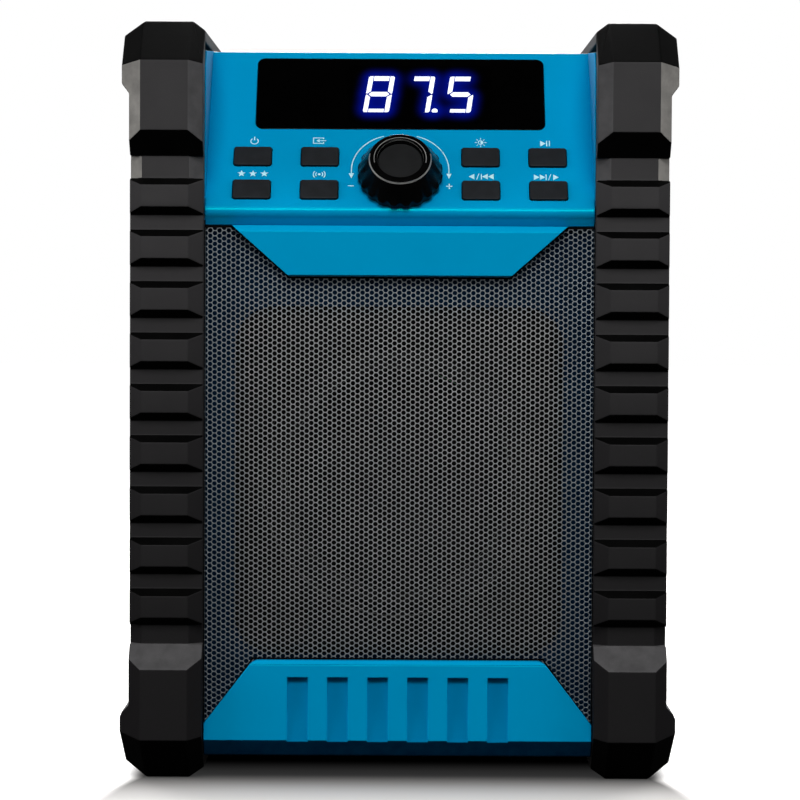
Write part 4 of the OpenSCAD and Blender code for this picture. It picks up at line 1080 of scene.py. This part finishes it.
def makeKnob():
    r, face, h, edge = knob["skirt"], knob["face"], knob["height"], knob["edge"]
    inner, gap, chamfer, shoulder = face - knob["ringWidth"], knob["gap"], knob["chamfer"], knob["shoulder"]
    rimIn, rimOut = knob["paintedHighlight"]["rim"]
    profile = roundedProfile([
        # From under the skirt, up its side and shoulder, over the ring and down into the recess
        (inner - 1, gap, 0), (r - chamfer, gap, 0), (r, gap + chamfer, 0.2), (r, knob["skirtTop"], 0.25),
        (r - shoulder, knob["skirtTop"] + 0.4, 0.2), (r - 2 * shoulder, knob["scallopTop"] + 0.2, 0),
        (face + 0.45, h - 0.7, edge * 1.4), (face - 0.1, h, edge * 0.6), (rimOut, h, 0), (rimIn, h, 0),
        (inner + 0.1, h, edge), (inner - 0.2, h - knob["recess"], 0), (0.5, h - knob["recess"], 0)])
    shape = bmesh.new()
    rings = []
    count = knob["scallops"] * knob["turns"]
    centre = r + knob["scallopOut"]
    for radius, height in profile:
        ring = []
        for i in range(count):
            turn = math.tau * i / count
            across = (turn * knob["scallops"] / math.tau + 0.5) % 1 - 0.5     # -0.5 to 0.5 over one scallop
            away = across * math.tau / knob["scallops"]
            reach = knob["scallopRadius"] ** 2 - (centre * math.sin(away)) ** 2
            limit = centre * math.cos(away) - math.sqrt(reach) if reach > 0 else radius
            at = min(radius, limit) if height <= knob["scallopTop"] else radius
            ring.append(shape.verts.new(onPanel(at * math.cos(turn), at * math.sin(turn), height)))
        rings.append(ring)
    for low, high in zip(rings, rings[1:]):
        for i in range(count):
            k = (i + 1) % count
            shape.faces.new((low[i], low[k], high[k], high[i]))
    shape.faces.new(rings[-1])
    shape.faces.new(rings[0][::-1])
    piece = meshPiece("volumeKnob", shape, "knobAbs", "knob", "knob_abs", "volume_knob")
    piece.data.materials.append(finishes["paintedHighlightAbs"])
    # Faces on these radii, on the lit half, take the painted highlight
    for ring, (start, stop) in knob["paintedHighlight"].items():
        turnedTo = -1 if ring == "outer" else 1     # the outer line shows below, the others above
        for face in piece.data.polygons:
            place = face.center - panelOrigin
            away, height = place.dot(panelUp) / mm, place.dot(panelOut) / mm
            reach = math.hypot(away, place.dot(panelRight) / mm)
            atTop = height > h - knob["paintedHighlightDepth"]
            if start < reach < stop and atTop and away * turnedTo > -0.2 * reach:
                face.material_index = 1
    piece.data.set_sharp_from_angle(angle=math.radians(knob["sharpAngle"]))


makeKnob()
print("knob and keys ready")


display = {
    "cellWidth": 10.74,
    "cellHeight": 18.9,
    "slant": 7.5,            # degrees
    "sideBar": 1.9,
    "bar": 2.4,
    "lowBar": 1.75,
    "gap": 0.3,
    "corner": 0.9,
    "foot": 32.72,           # above the knob's axis, up the slope
    "digits": (("8", -15.5, "abcdefg"), ("7", 1.15, "abc"), ("5", 18.0, "acdfg")),
    "point": (14.04, 33.51, 1.24),
    "pointSteps": 24,
    "tip": (0.3, 0.4),       # how the upright bars are cut where they meet in the middle
    "middleTip": (1.1, 0.1),
    "proud": 0.14,
    "inkRise": 0.04,         # of the lit shapes over the lens
    "lens": (-21.5, 37.5, 27.0, 57.5),       # left, right, low and high
    "cell": 0.5,
    "haloReach": 2.3,
    "haloEnd": 7,
    "haloStrength": 0.1,
    "lampSpacing": 0.6,      # along the outlines, which the halo comes from
}


def segmentOutlines():
    w, h, r = display["cellWidth"], display["cellHeight"], display["corner"]
    side, bar, lowBar, gap = display["sideBar"], display["bar"], display["lowBar"], display["gap"]
    (tipIn, tipUp), (middleIn, shoulder) = display["tip"], display["middleTip"]
    mid = h / 2
    quarter = [(r - r * math.cos(a), h - r + r * math.sin(a)) for a in (0, 0.4, 0.8, 1.2, math.pi / 2)]
    upperLeft = [(tipIn, mid + gap / 2), (0, mid + gap / 2 + tipUp), *quarter, (side, h),
                 (side, mid + bar / 2 + gap)]
    lowerLeft = [(x, h - y) for x, y in upperLeft]
    left, right = side + gap, w - side - gap
    return {
        "a": [(left, h), (left, h - bar), (right, h - bar), (right, h)],
        "b": [(w - x, y) for x, y in upperLeft],
        "c": [(w - x, y) for x, y in lowerLeft],
        "d": [(left, 0), (left, lowBar), (right, lowBar), (right, 0)],
        "e": lowerLeft,
        "f": upperLeft,
        "g": [(middleIn, mid), (left + shoulder, mid + bar / 2), (right - shoulder, mid + bar / 2),
              (w - middleIn, mid), (right - shoulder, mid - bar / 2), (left + shoulder, mid - bar / 2)],
    }


def makeDigits():
    outlines = segmentOutlines()
    lean = math.tan(math.radians(display["slant"]))
    shape = bmesh.new()
    lit = []

    def slab(outline):
        top = [shape.verts.new(onPanel(x, up, display["proud"] + display["inkRise"])) for x, up in outline]
        face = shape.faces.new(top)
        face.normal_update()
        if face.normal.dot(panelOut) < 0:
            face.normal_flip()
        lit.append(outline)

    for _, left, segments in display["digits"]:
        for segment in segments:
            slab([(left + x + y * lean, display["foot"] + y) for x, y in outlines[segment]])
    x, up, r = display["point"]
    around = [math.tau * i / display["pointSteps"] for i in range(display["pointSteps"])]
    slab([(x + r * math.cos(a), max(up + r * math.sin(a), display["foot"])) for a in around])
    meshPiece("litDigits", shape, "litSegments", "body", "display_face", smooth=False)

    # The lens in front of the digits, with how much of their light reaches each point of it, painted on as a glow
    sources = []
    for outline in lit:
        for (x0, up0), (x1, up1) in zip(outline, outline[1:] + outline[:1]):
            steps = max(1, round(math.hypot(x1 - x0, up1 - up0) / display["lampSpacing"]))
            sources += [(x0 + (x1 - x0) * i / steps, up0 + (up1 - up0) * i / steps) for i in range(steps)]
    (left, right, low, high), cell, end = display["lens"], display["cell"], display["haloEnd"]
    across, upward = round((right - left) / cell), round((high - low) / cell)
    shape = bmesh.new()
    grid, light = [], []
    for k in range(upward + 1):
        line = []
        for i in range(across + 1):
            x, up = left + i * cell, low + k * cell
            line.append(shape.verts.new(onPanel(x, up, display["proud"])))
            near = sum(math.exp(-((x - sx) ** 2 + (up - su) ** 2) / (2 * display["haloReach"] ** 2))
                       for sx, su in sources if abs(x - sx) < end and abs(up - su) < end)
            light.append((1 - math.exp(-display["haloStrength"] * near)) ** 2)
        grid.append(line)
    for below, above in zip(grid, grid[1:]):
        for i in range(across):
            shape.faces.new((below[i], below[i + 1], above[i + 1], above[i]))
    lens = meshPiece("digitLens", shape, "glowingAcrylic", "body", "window_acrylic")
    lens.data.attributes.new("glow", "FLOAT", "POINT").data.foreach_set("value", light)


makeDigits()
print("display ready")


legends = {
    "stroke": 0.43,
    "fine": 0.34,
    "proud": 0.04,
    "power": (-59.31, 17.7),
    "source": (-32.81, 17.89),
    "preset": (-59.42, 0.9),
    "scan": (-32.66, 0.7),
    "brightness": (32.69, 17.32),
    "play": (59.05, 16.96),
    "previous": (32.77, -0.08),
    "next": (58.96, -0.23),
    "arcCentre": (1.7, 3.0),         # of the two volume arcs, mirrored for the left one
    "arcRadius": 18.0,
    "arcEnd": 106,                   # degrees
    "arcFoot": 1.4,
    "arcStroke": 0.95,               # of the usual stroke
    "arrow": (1.05, 1.3),            # half its width and half its height
    "sign": (19.8, -5.03),
    "signHalf": (1.25, 1.3),
}

icons = {
    # Places from each icon's own middle: sideways, or sideways and up
    "ring": 1.5,
    "ringDrop": 0.2,
    "ringArc": (128, 412),           # degrees
    "ringBar": (0.2, 2.1),
    "box": ((1.6, 0.8), (1.6, 1.4), (-2.5, 1.4), (-2.5, -1.4), (1.6, -1.4), (1.6, -0.8)),
    "boxArrow": (2.7, -0.2),
    "boxHead": (-1.4, 1.7),          # width and height, as for the next two
    "playHead": (2.2, 3.0),
    "skipHead": (2.3, 2.9),
    "starSpacing": 4.6,
    "starRadii": (1.75, 0.75),
    "dot": 0.55,
    "waves": (1.4, 2.4),
    "waveHalf": 42,                  # degrees
    "waveStroke": 0.9,               # of the usual stroke
    "sun": 0.95,
    "rays": (1.5, 2.35),
    "playPlace": -2.1,
    "pauseBars": (0.5, 1.6),
    "barHalf": 1.45,
    "skipPlaces": (-5.0, -2.6, 2.8),
    "skipBar": -0.05,
    "slash": {-1: ((-1.9, -1.5), (-0.9, 1.6)), 1: ((0.9, -1.5), (1.9, 1.6))},
}


def makeLegends():
    shape = bmesh.new()

    def fill(points):
        face = shape.faces.new([shape.verts.new(onPanel(x, up, legends["proud"])) for x, up in points])
        face.normal_update()
        if face.normal.dot(panelOut) < 0:
            face.normal_flip()

    def stroke(points, width, closed=False):
        path = [Vector(p) for p in points]
        sides = []
        for i, here in enumerate(path):
            before = path[i - 1] if i or closed else None
            after = path[(i + 1) % len(path)] if i + 1 < len(path) or closed else None
            turns = [(b - a).normalized() for a, b in ((before, here), (here, after))
                     if a is not None and b is not None]
            along = sum(turns, Vector((0, 0))).normalized()
            square = Vector((-along.y, along.x))
            reach = width / 2 / max(0.4, along.dot(turns[0]))
            sides.append((here + square * reach, here - square * reach))
        pairs = list(zip(sides, sides[1:])) + ([(sides[-1], sides[0])] if closed else [])
        for (a, b), (c, d) in pairs:
            fill((a, b, d, c))

    def arc(centre, radius, start, end, steps):
        return [(centre[0] + radius * math.cos(math.radians(start + (end - start) * i / steps)),
                 centre[1] + radius * math.sin(math.radians(start + (end - start) * i / steps)))
                for i in range(steps + 1)]

    def triangle(x, up, width, height):
        # The point is at x + width, so a negative width points left
        fill([(x, up - height / 2), (x + width, up), (x, up + height / 2)])

    line, fine = legends["stroke"], legends["fine"]

    x, up = legends["power"]
    stroke(arc((x, up - icons["ringDrop"]), icons["ring"], *icons["ringArc"], 20), line)
    stroke([(x, up + rise) for rise in icons["ringBar"]], line)

    x, up = legends["source"]
    stroke([(x + across, up + rise) for across, rise in icons["box"]], line)
    stroke([(x + across, up) for across in icons["boxArrow"]], line)
    triangle(x, up, *icons["boxHead"])

    x, up = legends["preset"]
    for place in (-icons["starSpacing"], 0, icons["starSpacing"]):
        fill([(x + place + icons["starRadii"][i % 2] * math.sin(math.pi * i / 5),
               up + icons["starRadii"][i % 2] * math.cos(math.pi * i / 5)) for i in range(10)])

    x, up = legends["scan"]
    fill(arc((x, up), icons["dot"], 0, 330, 11))
    for radius in icons["waves"]:
        for facing in (0, 180):
            stroke(arc((x, up), radius, facing - icons["waveHalf"], facing + icons["waveHalf"], 8),
                   line * icons["waveStroke"])

    x, up = legends["brightness"]
    stroke(arc((x, up), icons["sun"], 0, 345, 23), fine, closed=True)
    fill(arc((x, up), icons["sun"], -90, 90, 10))
    for i in range(8):
        away = math.pi / 4 * i
        stroke([(x + r * math.cos(away), up + r * math.sin(away)) for r in icons["rays"]], fine)

    half = icons["barHalf"]
    x, up = legends["play"]
    triangle(x + icons["playPlace"], up, *icons["playHead"])
    for place in icons["pauseBars"]:
        stroke([(x + place, up - half), (x + place, up + half)], line)

    width, height = icons["skipHead"]
    first, second, third = icons["skipPlaces"]
    for name, facing in (("previous", -1), ("next", 1)):
        x, up = legends[name]
        triangle(x + first * facing, up, width * facing, height)
        triangle(x + second * facing, up, width * facing, height)
        bar = x + icons["skipBar"] * facing
        stroke([(bar, up - half), (bar, up + half)], line)
        stroke([(x + across, up + rise) for across, rise in icons["slash"][facing]], fine)
        triangle(x + third * facing, up, width * facing, height)

    # The two volume arcs, each with an arrow, and the signs under them
    halfWidth, halfHeight = legends["arrow"]
    signHalf, plusHalf = legends["signHalf"]
    for side in (-1, 1):
        path = [(side * across, rise) for across, rise in
                arc(legends["arcCentre"], legends["arcRadius"], 180 - legends["arcEnd"], 0, 24)]
        end = path[-1][0]
        stroke(path + [(end, legends["arcFoot"])], line * legends["arcStroke"])
        fill([(end - halfWidth, halfHeight), (end + halfWidth, halfHeight), (end, -halfHeight)])
        x, up = side * legends["sign"][0], legends["sign"][1]
        stroke([(x - signHalf, up), (x + signHalf, up)], line)
        if side > 0:
            stroke([(x, up - plusHalf), (x, up + plusHalf)], line)
    meshPiece("panelLegends", shape, "legendInk", "body", "display_face", smooth=False)


makeLegends()
print("legends ready")
